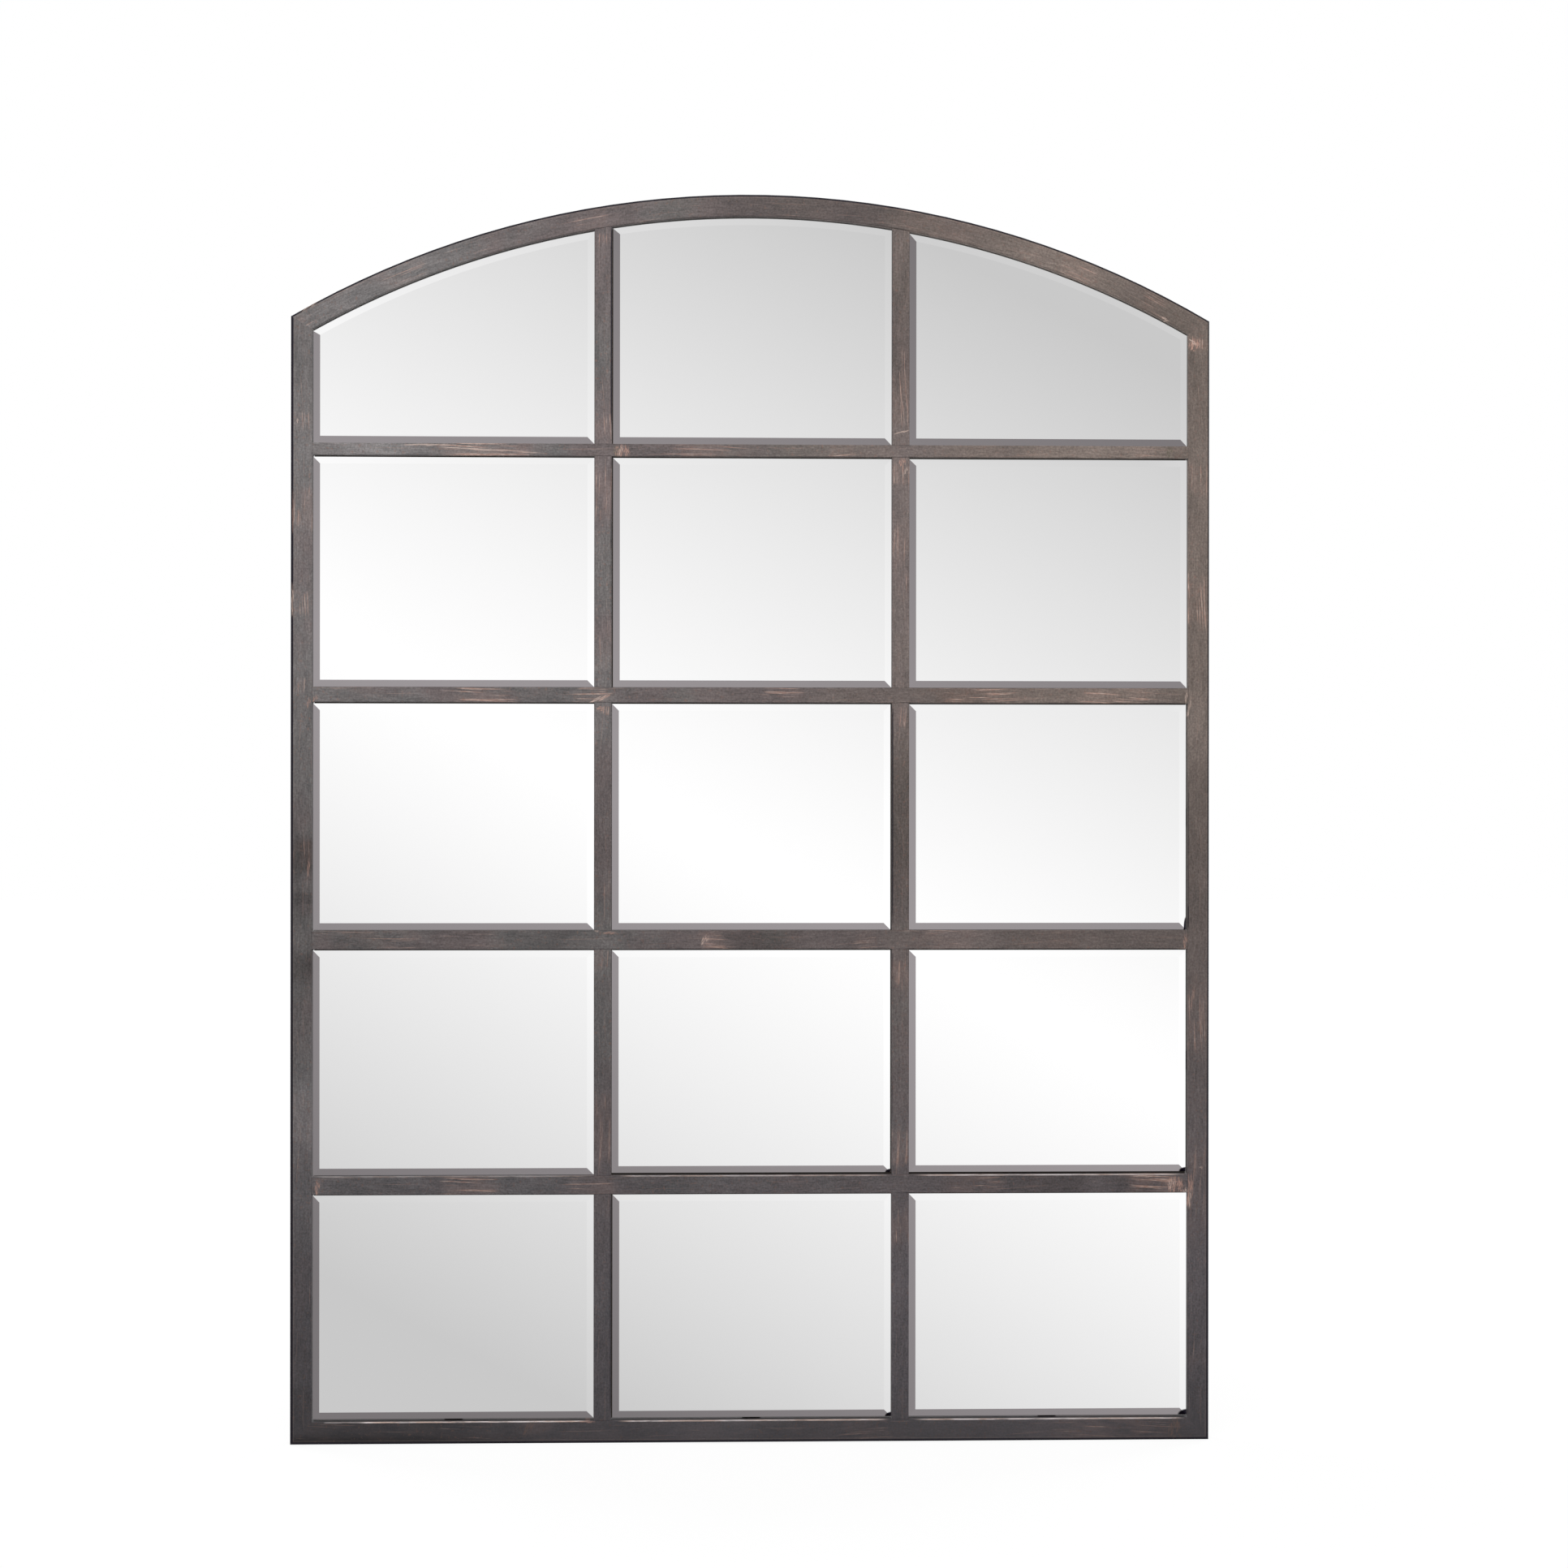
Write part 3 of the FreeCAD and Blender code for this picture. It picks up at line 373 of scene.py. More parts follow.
def make_bronze_group():
    """The paint as a node group. Along and Across are metres along the bar and round it. Edge,
    Outer and Top are metres from the nearest edge, the outline and the top edge."""
    tree = bpy.data.node_groups.new("aged_bronze", "ShaderNodeTree")
    tree.interface.new_socket("Place", in_out="INPUT", socket_type="NodeSocketVector")
    names = ("Along", "Across", "Edge", "Outer", "Top", "Rub", "Tone", "Glint")
    for name in names:
        tree.interface.new_socket(name, in_out="INPUT", socket_type="NodeSocketFloat")
    tree.interface.new_socket("Color", in_out="OUTPUT", socket_type="NodeSocketColor")
    for name in ("Roughness", "Relief"):
        tree.interface.new_socket(name, in_out="OUTPUT", socket_type="NodeSocketFloat")
    source = add(tree, "NodeGroupInput")
    sink = add(tree, "NodeGroupOutput")
    place = source.outputs["Place"]
    along, across, edge, outer, top, rub, tone, glint = (source.outputs[name] for name in names)
    split = add(tree, "ShaderNodeSeparateXYZ")
    tree.links.new(place, split.inputs[0])
    x, z = split.outputs["X"], split.outputs["Z"]

    def stretched(sideways, scales, shift):
        """A place along the bar and across it, stretched. The shift keeps two patterns apart."""
        return join(tree, product(tree, along, scales[0]), product(tree, sideways, scales[1]), shift)

    # The brush wandered, so the strokes lie at small angles to the bar.
    wander = noise(tree, stretched(across, BRUSH_TURNS, 3.1), detail=0.0)
    slanted = calc(tree, "MULTIPLY_ADD", wander, BRUSH_WANDER, across)

    mottle = noise(tree, place, scale=7.0, detail=3.0, roughness=0.6)
    clouds = noise(tree, stretched(slanted, CLOUDS, 4.1), detail=3.0, roughness=0.6)
    streaks = noise(tree, stretched(slanted, STREAKS, 2.3), detail=3.0, roughness=0.65)
    hairs = noise(tree, stretched(slanted, HAIRS, 7.9))
    grain = noise(tree, place, scale=420.0, detail=2.5, roughness=0.6)
    dashes = noise(tree, stretched(slanted, DASHES, 9.2))

    # The paint is warmer up and to the right, and coldest by the foot.
    warm = step(tree, calc(tree, "MULTIPLY_ADD", mottle, 0.9, x), 0.25, 0.95)
    warm = product(tree, warm, step(tree, z, 0.25, 0.95))
    cool = step(tree, calc(tree, "SUBTRACT", mottle, product(tree, x, 0.25)), 0.49, 0.64)
    paint = mix(tree, cool, BRONZE_PLUM, BRONZE_GREY)
    paint = mix(tree, fade_out(tree, z, (0.0, 0.62), 0.85), paint, BRONZE_COLD)
    paint = mix(tree, warm, paint, BRONZE_WARM)

    # Painted shade by height, darkest at the foot.
    height_shade = add(tree, "ShaderNodeValToRGB")
    feed(tree, height_shade.inputs[0], calc(tree, "DIVIDE", z, APEX_HEIGHT))
    ramp = height_shade.color_ramp
    while len(ramp.elements) < len(HEIGHT_SHADE_TONES):
        ramp.elements.new(0.5)
    for element, (height, height_shade_tone) in zip(ramp.elements, HEIGHT_SHADE_TONES):
        element.position = height
        element.color = (height_shade_tone / 2, height_shade_tone / 2, height_shade_tone / 2, 1)
    shade = product(tree, height_shade.outputs[0], 2.0, tone)
    calm = step(tree, z, *FOOT_HEIGHTS, FOOT_CALM, 1.0)
    for pattern, strength in zip((mottle, clouds, streaks, hairs, grain), SHADES):
        change = product(tree, calc(tree, "SUBTRACT", pattern, 0.5), calm, strength)
        shade = product(tree, shade, calc(tree, "ADD", change, 1.0))
    # Painted shade along the foot's lower edge, on the left.
    under = product(tree, fade_out(tree, z, UNDERSIDE_HEIGHTS, UNDERSIDE_SHADE),
                    fade_out(tree, x, UNDERSIDE_SPAN))
    shade = product(tree, shade, calc(tree, "SUBTRACT", 1.0, under))
    paint = shaded(tree, paint, shade)

    # A rubbed place is a warm cast with bright dashes in it.
    cast = product(tree, step(tree, clouds, 0.32, 0.62), rub, RUB_CAST)
    paint = mix(tree, cast, paint, COPPER)
    worn_from = calc(tree, "SUBTRACT", WORN_FROM, product(tree, rub, WORN_MORE))
    worn = step(tree, dashes, worn_from, calc(tree, "ADD", worn_from, WORN_SOFTNESS))
    worn = product(tree, worn, calc(tree, "MULTIPLY_ADD", rub, 0.70, 0.15))
    # The bare metal and the flecks take the painted shade by height too.
    metal = shaded(tree, mix(tree, step(tree, hairs, 0.4, 0.7), COPPER, COPPER_PALE),
                   calc(tree, "MULTIPLY_ADD", height_shade.outputs[0], 1.2, 0.3))
    paint = mix(tree, worn, paint, metal)
    flecks = noise(tree, place, scale=FLECK_SCALE, roughness=0.6)
    flecks = product(tree, step(tree, flecks, *FLECK_SPAN), step(tree, mottle, 0.35, 0.6, 0.15, 0.5))
    paint = mix(tree, flecks, paint, shaded(tree, COPPER, height_shade.outputs[0]))

    # Edges: a painted shadow line in the corners, a rubbed top arris with a painted highlight, and the
    # outline of painted shade with a faint painted highlight inside it.
    patchy = step(tree, noise(tree, stretched(slanted, PATCHES, 6.6)), 0.35, 0.6)
    paint = mix(tree, product(tree, fade_out(tree, edge, CORNER_SHADOW_LINE, CORNER_SHADOW_DARKNESS), patchy), paint, SHADE_BLACK)
    # A painted highlight on the rubbed top arris, in pale copper and near white.
    shine = product(tree, fade_out(tree, top, TOP_SHINE), glint, step(tree, streaks, 0.3, 0.55, 0.35, 1.0))
    paint = mix(tree, shine, paint, mix(tree, step(tree, clouds, 0.4, 0.6), COPPER_PALE, GLINT))
    # A faint painted highlight inside the outline, in pale copper.
    rim = product(tree, step(tree, outer, *RIM_START), fade_out(tree, outer, RIM_END))
    paint = mix(tree, product(tree, rim, RIM_HIGHLIGHT), paint, COPPER_PALE)
    # The outline: painted shade where the rounded outer arris turns away from the light.
    paint = mix(tree, fade_out(tree, outer, OUTLINE_WIDTH), paint, SHADE_BLACK)

    tree.links.new(paint, sink.inputs["Color"])
    gloss = calc(tree, "MULTIPLY_ADD", streaks, 0.30, 0.36)
    feed(tree, sink.inputs["Roughness"], calc(tree, "SUBTRACT", gloss, product(tree, worn, 0.10)))
    relief = calc(tree, "MULTIPLY_ADD", streaks, 0.6, product(tree, grain, 0.2))
    feed(tree, sink.inputs["Relief"], calc(tree, "MULTIPLY_ADD", hairs, 0.2, relief))
    return tree


bronze_group = make_bronze_group()


def patch(tree, along, start, end, strength, softness=0.35):
    """A soft patch of a strength between two places along a bar."""
    fade = (end - start) * softness
    rise = step(tree, along, start, start + fade)
    fall = fade_out(tree, along, (end - fade, end))
    return product(tree, rise, fall, strength)


def spot(tree, place, x, z, length, width, turn=0.0):
    """The place within an oval spot, and how far out it is, 1 at the rim. Its middle is in metres,
    its length and width in the photograph's pixels."""
    local = add(tree, "ShaderNodeMapping", vector_type="TEXTURE")
    tree.links.new(place, local.inputs["Vector"])
    local.inputs["Location"].default_value = (x, 0.0, z)
    local.inputs["Rotation"].default_value = (0.0, -radians(turn), 0.0)
    local.inputs["Scale"].default_value = (length * PIXEL / 2, 1.0, width * PIXEL / 2)
    reach = add(tree, "ShaderNodeVectorMath", operation="LENGTH")
    tree.links.new(local.outputs[0], reach.inputs[0])
    return local.outputs[0], reach.outputs["Value"]


def mark(tree, place, colour, x, y, length, width, turn, tint, strength):
    """Lays a mark of short strokes on the paint."""
    local, reach = spot(tree, place, photo_x(x), photo_z(y), length, width, turn)
    strokes = add(tree, "ShaderNodeVectorMath", operation="MULTIPLY")
    tree.links.new(local, strokes.inputs[0])
    strokes.inputs[1].default_value = (1.1, 1.0, max(1.4, width * 0.2))
    ragged = noise(tree, strokes.outputs[0], scale=1.3, detail=2.5, roughness=0.6)
    inside = fade_out(tree, calc(tree, "MULTIPLY_ADD", ragged, 0.9, reach), (1.0, 1.5))
    cover = product(tree, inside, step(tree, ragged, 0.44, 0.54, 1.0, 0.1), strength)
    return mix(tree, cover, colour, tint)


def make_bronze(name, kind, middle, half, front):
    """The paint for a bar that is upright, level or the arched head, with the middle and half the
    width of its face, and where its front lies."""
    material, tree, shader = new_material(f"bronze_{name}")
    place, x, y, z = place_of(tree)
    if kind == "upright":
        along, across = z, calc(tree, "SUBTRACT", x, middle)
    elif kind == "level":
        along, across = x, calc(tree, "SUBTRACT", z, middle)
    else:
        up = calc(tree, "SUBTRACT", z, HEAD_CENTRE)
        radius = calc(tree, "SQRT", calc(tree, "ADD", product(tree, x, x), product(tree, up, up)))
        along = product(tree, calc(tree, "ARCTAN2", x, up), middle)
        across = calc(tree, "SUBTRACT", radius, middle)

    def along_of(pixel):
        """The place along the bar of a pixel of the photograph."""
        if kind == "upright":
            return photo_z(pixel)
        if kind == "level":
            return photo_x(pixel)
        return middle * asin(photo_x(pixel) / middle)

    behind = calc(tree, "SUBTRACT", y, front)
    low = calc(tree, "MAXIMUM", calc(tree, "ADD", across, half), behind)
    high = calc(tree, "MAXIMUM", calc(tree, "SUBTRACT", half, across), behind)
    drift = calc(tree, "SUBTRACT", noise(tree, place, scale=DRIFT_SCALE), 0.5)
    drifted = calc(tree, "MULTIPLY_ADD", drift, DRIFT, along)
    rub, tone, glint = PLAIN_RUB, 1.0, 0.0
    for start, end, strength in RUBS.get(name, ()):
        rub = calc(tree, "MAXIMUM", rub, patch(tree, drifted, *sorted(map(along_of, (start, end))), strength))
    for start, end, strength in TONES.get(name, ()):
        tone = calc(tree, "ADD", tone, patch(tree, drifted, *sorted(map(along_of, (start, end))), strength))
    for start, end, strength in GLINTS.get(name, ()):
        glint = calc(tree, "ADD", glint, patch(tree, along, along_of(start), along_of(end), strength, 0.06))
    side, by_foot, further_up = OUTLINES.get(name, (0, 0.0, 0.0))
    thinner = step(tree, z, *OUTLINE_HEIGHTS, by_foot, further_up)
    outer = calc(tree, "ADD", {-1: low, 0: 1.0, 1: high}[side], thinner)
    # The painted shadow line is under the level bars and inside the arch's left half, and faint on the
    # uprights.
    edge = low
    if kind == "upright":
        edge = calc(tree, "ADD", calc(tree, "MINIMUM", low, high), 0.5 * MM)
    if kind == "arched":
        right_half = step(tree, x, -0.05, 0.12)
        edge = calc(tree, "ADD", low, product(tree, right_half, 2.0 * MM))
        # Painted light on the arch's inner side in its right half, which the lamps leave in shade.
        inner = product(tree, right_half, fade_out(tree, across, (-half / 2, 0.0)))
        tone = calc(tree, "ADD", tone, product(tree, inner, step(tree, behind, 0.3 * MM, 1.0 * MM), 0.9))
    paint = add(tree, "ShaderNodeGroup", node_tree=bronze_group)
    for socket, value in (("Place", place), ("Along", along), ("Across", calc(tree, "ADD", across, y)),
                          ("Edge", edge), ("Outer", outer), ("Top", high),
                          ("Rub", rub), ("Tone", tone), ("Glint", glint)):
        feed(tree, paint.inputs[socket], value)
    colour = paint.outputs["Color"]
    for bar, *details in MARKS:
        if bar == name:
            colour = mark(tree, place, colour, *details)
    # Painted shadow in the open seams.
    for seam_side, start, end, strength in SEAM_SHADOWS.get(name, ()):
        seam = fade_out(tree, {-1: low, 1: high}[seam_side], SEAM_SHADOW_WIDTH)
        seam = product(tree, seam, patch(tree, drifted, along_of(end), along_of(start), strength, 0.08))
        colour = mix(tree, seam, colour, SHADE_BLACK)
    tree.links.new(colour, shader.inputs["Base Color"])
    tree.links.new(paint.outputs["Roughness"], shader.inputs["Roughness"])
    shader.inputs["Metallic"].default_value = 0.10
    shader.inputs["Specular IOR Level"].default_value = 0.28
    bump(tree, shader, paint.outputs["Relief"], 0.3 * MM, 0.6)
    return material


def make_plain_bronze(name):
    """The paint for a piece without the lines at a bar's edges: its face is taken as 2 m wide."""
    return make_bronze(name, "level", 0.0, 1.0, 0.0)


def dress_bar(name, kind):
    low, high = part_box(name)
    if kind == "upright":
        middle, half = (low.x + high.x) / 2, (high.x - low.x) / 2
    elif kind == "level":
        middle, half = (low.z + high.z) / 2, (high.z - low.z) / 2
    else:
        middle, half = HEAD_MIDDLE, HEAD_FACE / 2
    dress(name, make_bronze(name, kind, middle, half, low.y))
    # The photographed panes show no bars in their bevels.
    nodes[name].visible_glossy = False


dress_bar("stile_left", "upright")
dress_bar("stile_right", "upright")
dress_bar("rail_bottom", "level")
dress_bar("head_arch", "arched")
for number in CROSSBARS:
    dress_bar(f"crossbar_{number}", "level")
for side in SIDES:
    for row in ROWS:
        dress_bar(f"mullion_{side}_{row}", "upright")


# ---- The bevelled mirrors ----

GLASS_EDGE = (0.10, 0.17, 0.15)
SILVER = (0.945, 0.943, 0.944)


def make_mirror():
    """Silvered glass, faintly hazy, with green unsilvered edges and painted shadows in the open corners."""
    material, tree, shader = new_material("mirror_glass")
    place = place_of(tree)[0]
    geometry = add(tree, "ShaderNodeNewGeometry")
    split = add(tree, "ShaderNodeSeparateXYZ")
    tree.links.new(geometry.outputs["True Normal"], split.inputs[0])
    # The front and its bevels face -Y.
    silvered = fade_out(tree, split.outputs["Y"], (-0.7, -0.5))
    haze = noise(tree, place, scale=9.0, detail=3.0)
    colour = mix(tree, silvered, GLASS_EDGE, SILVER)
    # Painted shadow in each pane's open lower right corner.
    for row, column, leftwards, upwards in PANE_CORNER_SHADOWS:
        low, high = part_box(f"pane_{row}_{column}")
        reach = spot(tree, place, high.x, low.z, 2 * leftwards, 2 * upwards)[1]
        colour = mix(tree, fade_out(tree, reach, (0.85, 1.15)), colour, SHADE_BLACK)
    tree.links.new(colour, shader.inputs["Base Color"])
    tree.links.new(silvered, shader.inputs["Metallic"])
    feed(tree, shader.inputs["Roughness"], step(tree, haze, 0.3, 0.8, 0.0, 0.02))
    return material


mirror = make_mirror()
for row in ROWS:
    for column in COLUMNS:
        dress(f"pane_{row}_{column}", mirror)


# ---- What is on the back ----

def make_board():
    """Dark hardboard with felted fibres, pale scuffs and dust."""
    material, tree, shader = new_material("board")
    place, x, y, z = place_of(tree)
    felted = join(tree, product(tree, x, 260.0), product(tree, y, 260.0), product(tree, z, 90.0))
    fibres = noise(tree, felted, detail=4.0, roughness=0.7)
    dust = noise(tree, place, scale=5.0, detail=4.0, roughness=0.65)
    dragged = join(tree, product(tree, x, 12.0), 0.0, product(tree, z, 160.0))
    scuffs = noise(tree, dragged, detail=3.0, distortion=0.8)
    colour = mix(tree, step(tree, fibres, 0.3, 0.7), (0.040, 0.032, 0.027), (0.085, 0.068, 0.056))
    colour = mix(tree, step(tree, dust, 0.45, 0.75, 0.0, 0.35), colour, (0.16, 0.145, 0.13))
    colour = mix(tree, step(tree, scuffs, 0.66, 0.74, 0.0, 0.5), colour, (0.19, 0.165, 0.14))
    tree.links.new(colour, shader.inputs["Base Color"])
    feed(tree, shader.inputs["Roughness"], step(tree, fibres, 0.3, 0.7, 0.62, 0.80))
    bump(tree, shader, fibres, 0.15 * MM, 0.5)
    return material


def make_foam():
    """White foam tape with fine open cells."""
    material, tree, shader = new_material("foam_tape")
    cells = add(tree, "ShaderNodeTexVoronoi")
    tree.links.new(place_of(tree)[0], cells.inputs["Vector"])
    cells.inputs["Scale"].default_value = 1600.0
    distance = cells.outputs["Distance"]
    tree.links.new(mix(tree, step(tree, distance, 0.1, 0.6), (0.42, 0.42, 0.40), (0.72, 0.72, 0.69)),
                   shader.inputs["Base Color"])
    shader.inputs["Roughness"].default_value = 0.85
    bump(tree, shader, distance, 0.2 * MM, 0.6)
    return material


def make_zinc():
    """Bright zinc plate: cloudy, with fine rolling scratches and faint yellow passivation."""
    material, tree, shader = new_material("zinc_steel")
    place, x, y, z = place_of(tree)
    clouds = noise(tree, place, scale=160.0, detail=3.0)
    rolled = join(tree, product(tree, x, 2400.0), product(tree, y, 2400.0), product(tree, z, 160.0))
    scratches = noise(tree, rolled, detail=3.0, roughness=0.6)
    colour = mix(tree, step(tree, clouds, 0.35, 0.65), (0.56, 0.57, 0.58), (0.64, 0.61, 0.52))
    colour = shaded(tree, colour, calc(tree, "MULTIPLY_ADD", scratches, 0.5, 0.75))
    tree.links.new(colour, shader.inputs["Base Color"])
    shader.inputs["Metallic"].default_value = 1.0
    feed(tree, shader.inputs["Roughness"], step(tree, scratches, 0.3, 0.7, 0.22, 0.42))
    bump(tree, shader, scratches, 0.05 * MM, 0.4)
    return material


def make_rubber():
    """Black rubber with a fine moulded grain and a pale bloom."""
    material, tree, shader = new_material("bumper_rubber")
    place = place_of(tree)[0]
    grain = noise(tree, place, scale=900.0)
    bloom = noise(tree, place, scale=120.0, detail=3.0)
    colour = mix(tree, step(tree, bloom, 0.45, 0.75, 0.0, 0.5), (0.024, 0.024, 0.025), (0.075, 0.073, 0.070))
    tree.links.new(colour, shader.inputs["Base Color"])
    feed(tree, shader.inputs["Roughness"], step(tree, grain, 0.3, 0.7, 0.58, 0.74))
    bump(tree, shader, grain, 0.08 * MM, 0.5)
    return material


def make_weld():
    """A painted weld, with its ripples."""
    material = make_plain_bronze("weld")
    tree = material.node_tree
    ripples = add(tree, "ShaderNodeTexWave", wave_profile="SIN")
    tree.links.new(place_of(tree)[0], ripples.inputs["Vector"])
    for name, setting in (("Scale", 150.0), ("Distortion", 2.5), ("Detail", 1.0)):
        ripples.inputs[name].default_value = setting
    bump(tree, tree.nodes["Principled BSDF"], ripples.outputs["Fac"], 0.4 * MM, 0.8)
    return material


dress("backing_board", make_board())
dress("mounting_tape", make_foam())
zinc = make_zinc()
for name in ("board_screws", "hanger_screws", "hanger_strap_left", "hanger_strap_right",
             "hanger_ring_left", "hanger_ring_right"):
    dress(name, zinc)
dress("wall_bumpers", make_rubber())
dress("corner_welds", make_weld())
dress("board_tabs", make_plain_bronze("tabs"))


# ---- The studio ----

# The mirrors face a wall that is brightest along one slanted line and falls off on both sides.
RIDGE_X, RIDGE_Z = 0.4725, 0.8813
RIDGE_SHIFT = 0.0304
RIDGE_FALL_ABOVE, RIDGE_FALL_BELOW = 0.305, 0.355
RIDGE_POWER = 1.25
LEAST_TONE = 0.78
DISPLAY_POWER = 2.2
WALL_GAIN = 1.07

# Where each kind of bevel looks, in degrees away from the wall's middle, how softly these zones
# begin, how far a bevel turns the view, and how much brighter its light is.
RIGHT_ZONE, LEFT_ZONE, ABOVE_ZONE, BELOW_ZONE = 15.0, 12.5, 11.7, 15.4
ZONE_SOFTNESS = 1.5
BEVEL_TURN = radians(27.0)
RIGHT_GAIN, ABOVE_GAIN, ARCHED_GAIN = 0.05, 0.02, 0.05

# The arched bevels: where they look, in degrees up and aside, and how they spread and lower the view.
ARCHED_UP, ARCHED_ASIDE = (32.8, 34.2), (9.3, 11.0)
ARCHED_MIDDLE, ARCHED_SPREAD = radians(2.9), 2.83
ARCHED_LEAN, ARCHED_LEAN_START, ARCHED_TURN = 4.31, -0.12, 0.406

# What the left and lower bevels see from the front is dark: from and to, in degrees, and how dark.
DARK_LEFT, DARK_LEFT_UP = (-38.0, -34.0), (-14.0, -11.5)
DARK_BELOW, DARK_BELOW_ASIDE, DARK_BELOW_MIDDLE = (-43.0, -38.5), (9.5, 12.0), 1.6
DARKNESS = 0.67
DARK_TINT = (1.0, 0.925, 0.955)

# The light from all round, which no camera or mirror sees.
FILL = 0.17


def make_world():
    world = bpy.data.worlds.new("studio")
    scene.world = world
    world.use_nodes = True
    tree = world.node_tree
    background = tree.nodes["Background"]
    direction = add(tree, "ShaderNodeTexCoord").outputs["Generated"]
    split = add(tree, "ShaderNodeSeparateXYZ")
    tree.links.new(direction, split.inputs[0])
    x, y, z = split.outputs
    azimuth = calc(tree, "ARCTAN2", x, product(tree, y, -1.0))
    elevation = calc(tree, "ARCSINE", z)

    def rising(angle, degrees):
        return step(tree, angle, *map(radians, degrees))

    def zone(angle, start):
        return rising(angle, (start - ZONE_SOFTNESS, start + ZONE_SOFTNESS))

    # The bevels look to the sides of the wall, which show the same light turned by a bevel's angle.
    right = zone(azimuth, RIGHT_ZONE)
    left = zone(product(tree, azimuth, -1.0), LEFT_ZONE)
    above = zone(elevation, ABOVE_ZONE)
    level = calc(tree, "SUBTRACT", 1.0, above)
    right, left = product(tree, right, level), product(tree, left, level)
    below = zone(product(tree, elevation, -1.0), BELOW_ZONE)
    turn_x = product(tree, calc(tree, "SUBTRACT", left, right), BEVEL_TURN)
    turn_z = product(tree, calc(tree, "SUBTRACT", below, above), BEVEL_TURN)
    # The arched bevels look up and outwards, the more so the nearer they are to the shoulders.
    arched = calc(tree, "MAXIMUM", rising(elevation, ARCHED_UP),
                  rising(calc(tree, "ABSOLUTE", azimuth), ARCHED_ASIDE))
    arched = product(tree, arched, above)
    spread = product(tree, calc(tree, "ADD", azimuth, ARCHED_MIDDLE), 1 / ARCHED_SPREAD)
    azimuth = calc(tree, "MULTIPLY_ADD", arched, calc(tree, "SUBTRACT", spread, azimuth), azimuth)
    lean = product(tree, arched, calc(tree, "MULTIPLY_ADD", azimuth, ARCHED_LEAN, ARCHED_LEAN_START))
    turn_z = calc(tree, "MULTIPLY_ADD", product(tree, lean, lean), ARCHED_TURN * BEVEL_TURN, turn_z)
    across = calc(tree, "TANGENT", calc(tree, "ADD", azimuth, turn_x))
    up = calc(tree, "TANGENT", calc(tree, "ADD", elevation, turn_z))
    distance = calc(tree, "ADD", product(tree, across, RIDGE_X * CAMERA_DISTANCE),
                    calc(tree, "MULTIPLY_ADD", up, RIDGE_Z * CAMERA_DISTANCE, RIDGE_SHIFT))
    fall = step(tree, distance, -0.05, 0.05, RIDGE_FALL_BELOW, RIDGE_FALL_ABOVE)
    drop = product(tree, calc(tree, "POWER", calc(tree, "ABSOLUTE", distance), RIDGE_POWER), fall)
    tone = calc(tree, "MAXIMUM", calc(tree, "SUBTRACT", 1.0, drop), LEAST_TONE)
    light = product(tree, calc(tree, "POWER", tone, DISPLAY_POWER), WALL_GAIN)
    far_left = product(tree, rising(azimuth, DARK_LEFT), rising(elevation, DARK_LEFT_UP))
    aside = calc(tree, "ABSOLUTE", calc(tree, "SUBTRACT", azimuth, radians(DARK_BELOW_MIDDLE)))
    far_below = product(tree, rising(elevation, DARK_BELOW),
                        fade_out(tree, aside, tuple(map(radians, DARK_BELOW_ASIDE))))
    dark = calc(tree, "MAXIMUM", product(tree, left, far_left), product(tree, below, far_below))
    for part, gain in ((above, ABOVE_GAIN), (arched, ARCHED_GAIN), (right, RIGHT_GAIN), (dark, -DARKNESS)):
        light = product(tree, light, calc(tree, "MULTIPLY_ADD", part, gain, 1.0))
    wall = shaded(tree, mix(tree, dark, (1.0, 1.0, 1.0), DARK_TINT), light)
    path = add(tree, "ShaderNodeLightPath")
    seen = mix(tree, path.outputs["Is Glossy Ray"], (FILL, FILL, FILL), wall)
    seen = mix(tree, path.outputs["Is Camera Ray"], seen, (1.0, 1.0, 1.0))
    tree.links.new(seen, background.inputs["Color"])


make_world()

# The floor, how far below the foot it lies, and how white it is to the camera near the object and
# far from it.
FLOOR_SIZE = 40.0
FLOOR_DROP = 0.5 * MM
FLOOR_GLOW = 1.05
SHADOW_REACH, SHADOW_COVER = (0.6, 2.2), (0.88, 0.99)


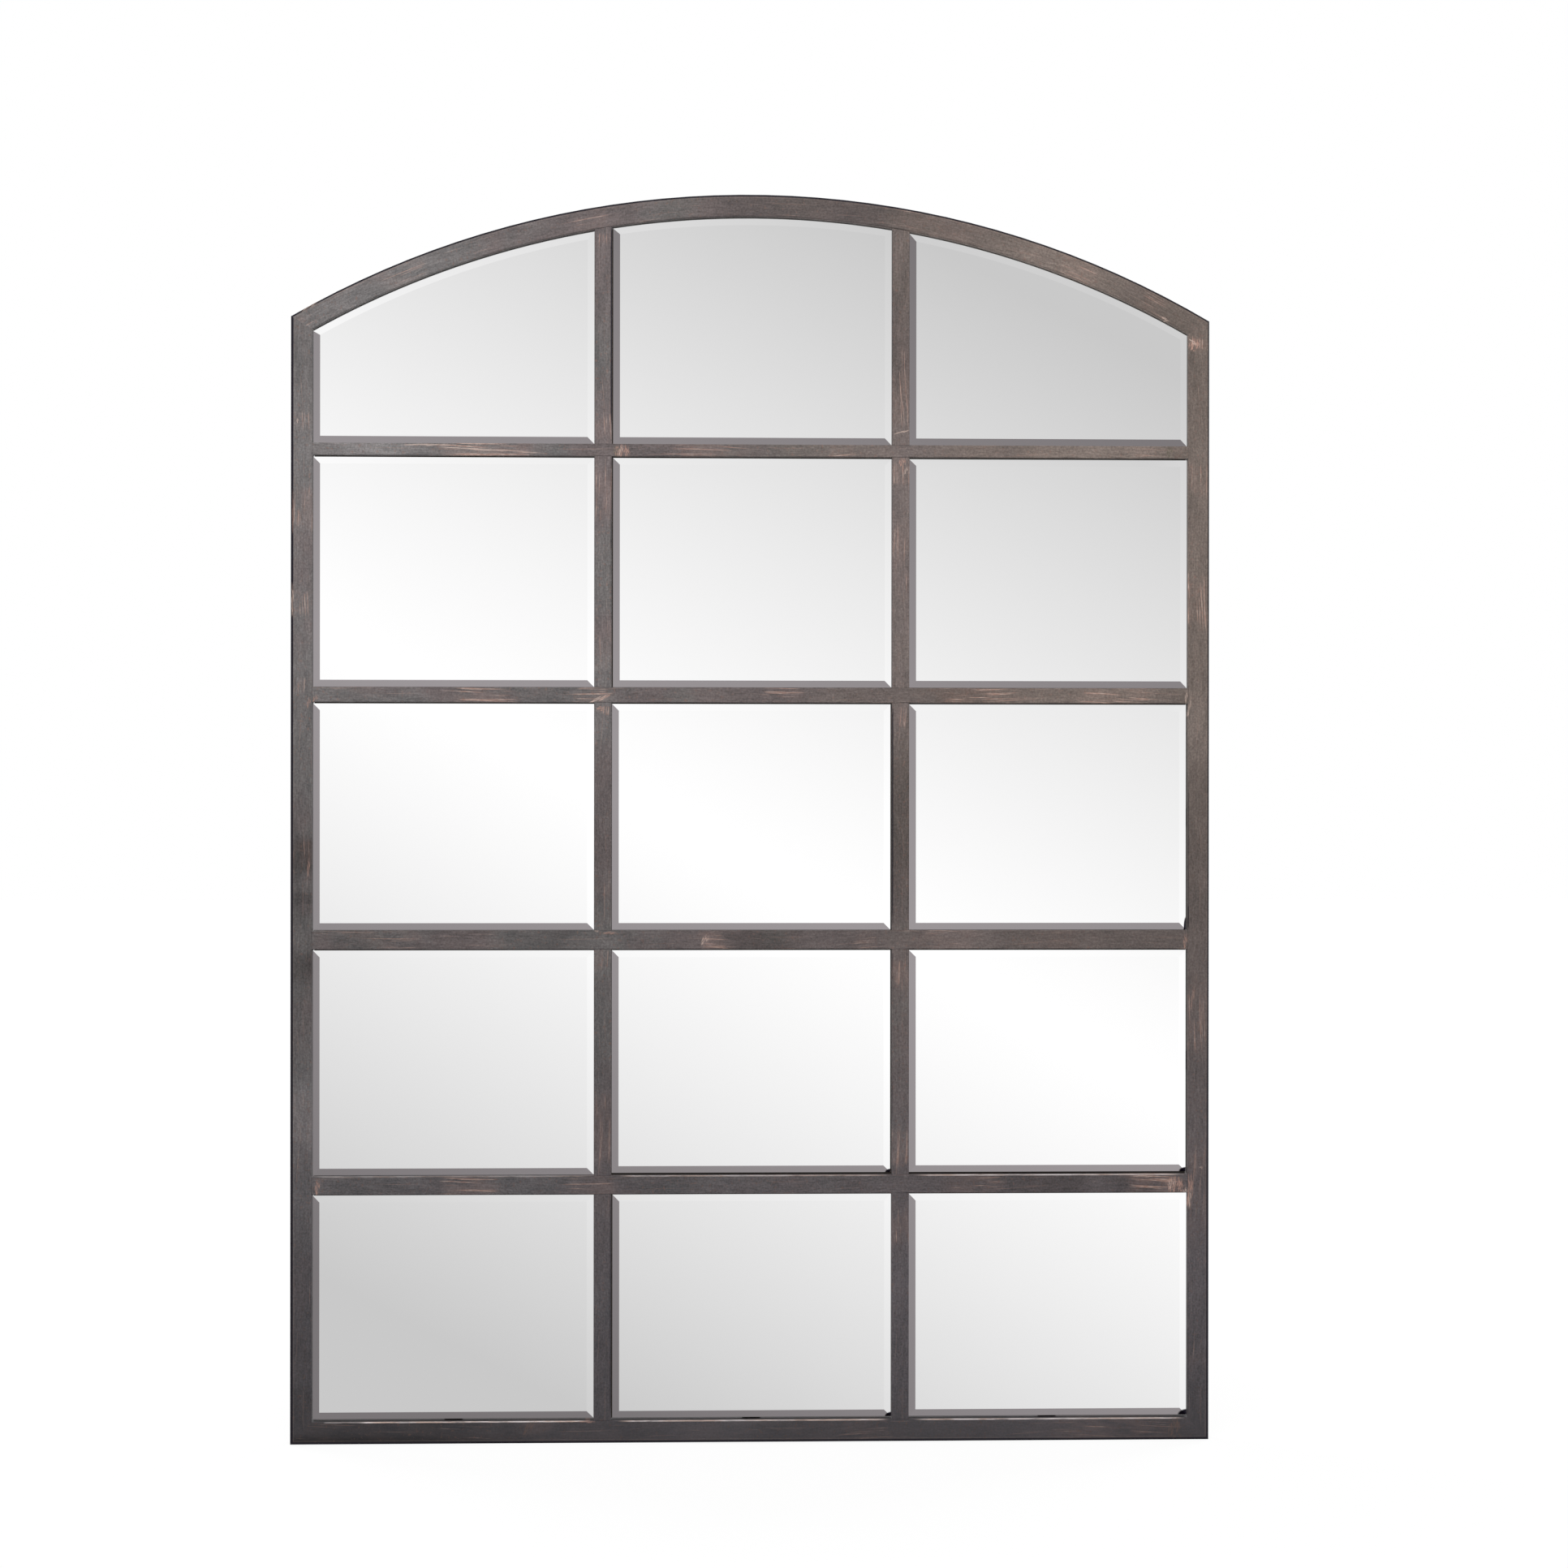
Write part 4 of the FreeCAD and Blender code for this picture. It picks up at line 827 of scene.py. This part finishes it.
def make_floor():
    """A pale floor. It is white to the camera, and near the object it keeps the shadow."""
    mesh = bpy.data.meshes.new("floor")
    half = FLOOR_SIZE / 2
    corners = [(x, y, -FLOOR_DROP) for x, y in ((-half, -half), (half, -half), (half, half), (-half, half))]
    mesh.from_pydata(corners, [], [(0, 1, 2, 3)])
    floor = bpy.data.objects.new("floor", mesh)
    scene.collection.objects.link(floor)
    material, tree, shader = new_material("floor")
    mesh.materials.append(material)
    place = place_of(tree)[0]
    reach = add(tree, "ShaderNodeVectorMath", operation="LENGTH")
    tree.links.new(place, reach.inputs[0])
    speckle = noise(tree, place, scale=60.0, detail=3.0)
    tree.links.new(mix(tree, speckle, (0.80, 0.80, 0.80), (0.84, 0.84, 0.84)), shader.inputs["Base Color"])
    shader.inputs["Roughness"].default_value = 0.9
    glow = add(tree, "ShaderNodeEmission")
    glow.inputs["Strength"].default_value = FLOOR_GLOW
    both = add(tree, "ShaderNodeMixShader")
    path = add(tree, "ShaderNodeLightPath")
    lit = step(tree, reach.outputs["Value"], *SHADOW_REACH, *SHADOW_COVER)
    feed(tree, both.inputs[0], product(tree, path.outputs["Is Camera Ray"], lit))
    tree.links.new(shader.outputs[0], both.inputs[1])
    tree.links.new(glow.outputs[0], both.inputs[2])
    tree.links.new(both.outputs[0], tree.nodes["Material Output"].inputs[0])
    floor.visible_glossy = False


make_floor()

# Lamps: name, place, aim, width and height, and power in watts.
LAMPS = (
    ("key", (-0.2, -1.6, 2.15), (0.0, 0.0, 1.1), (1.4, 0.9), 34),
    ("back_left", (-1.9, 1.7, 1.7), (0.0, 0.0, 0.7), (1.2, 1.6), 40),
    ("back_right", (1.9, 1.7, 1.7), (0.0, 0.0, 0.7), (1.2, 1.6), 40),
)


def make_lamp(name, place, aim, size, power):
    data = bpy.data.lights.new(name, "AREA")
    data.shape = "RECTANGLE"
    data.size, data.size_y = size
    data.energy = power
    lamp = bpy.data.objects.new(name, data)
    lamp.location = place
    lamp.rotation_euler = (Vector(aim) - Vector(place)).to_track_quat("-Z", "Y").to_euler()
    lamp.visible_glossy = False
    lamp.visible_camera = False
    scene.collection.objects.link(lamp)


for lamp in LAMPS:
    make_lamp(*lamp)


def make_camera():
    data = bpy.data.cameras.new("camera")
    data.sensor_width = SENSOR_WIDTH
    data.lens = FOCAL_PIXELS / PHOTO_WIDTH * SENSOR_WIDTH
    camera = bpy.data.objects.new("camera", data)
    camera.location = (CAMERA_X, FRONT - CAMERA_DISTANCE, CAMERA_HEIGHT)
    camera.rotation_euler = (radians(90), -CAMERA_ROLL, -CAMERA_YAW)
    scene.collection.objects.link(camera)
    scene.camera = camera


make_camera()
scene.view_settings.view_transform = "Standard"

bpy.context.view_layer.update()
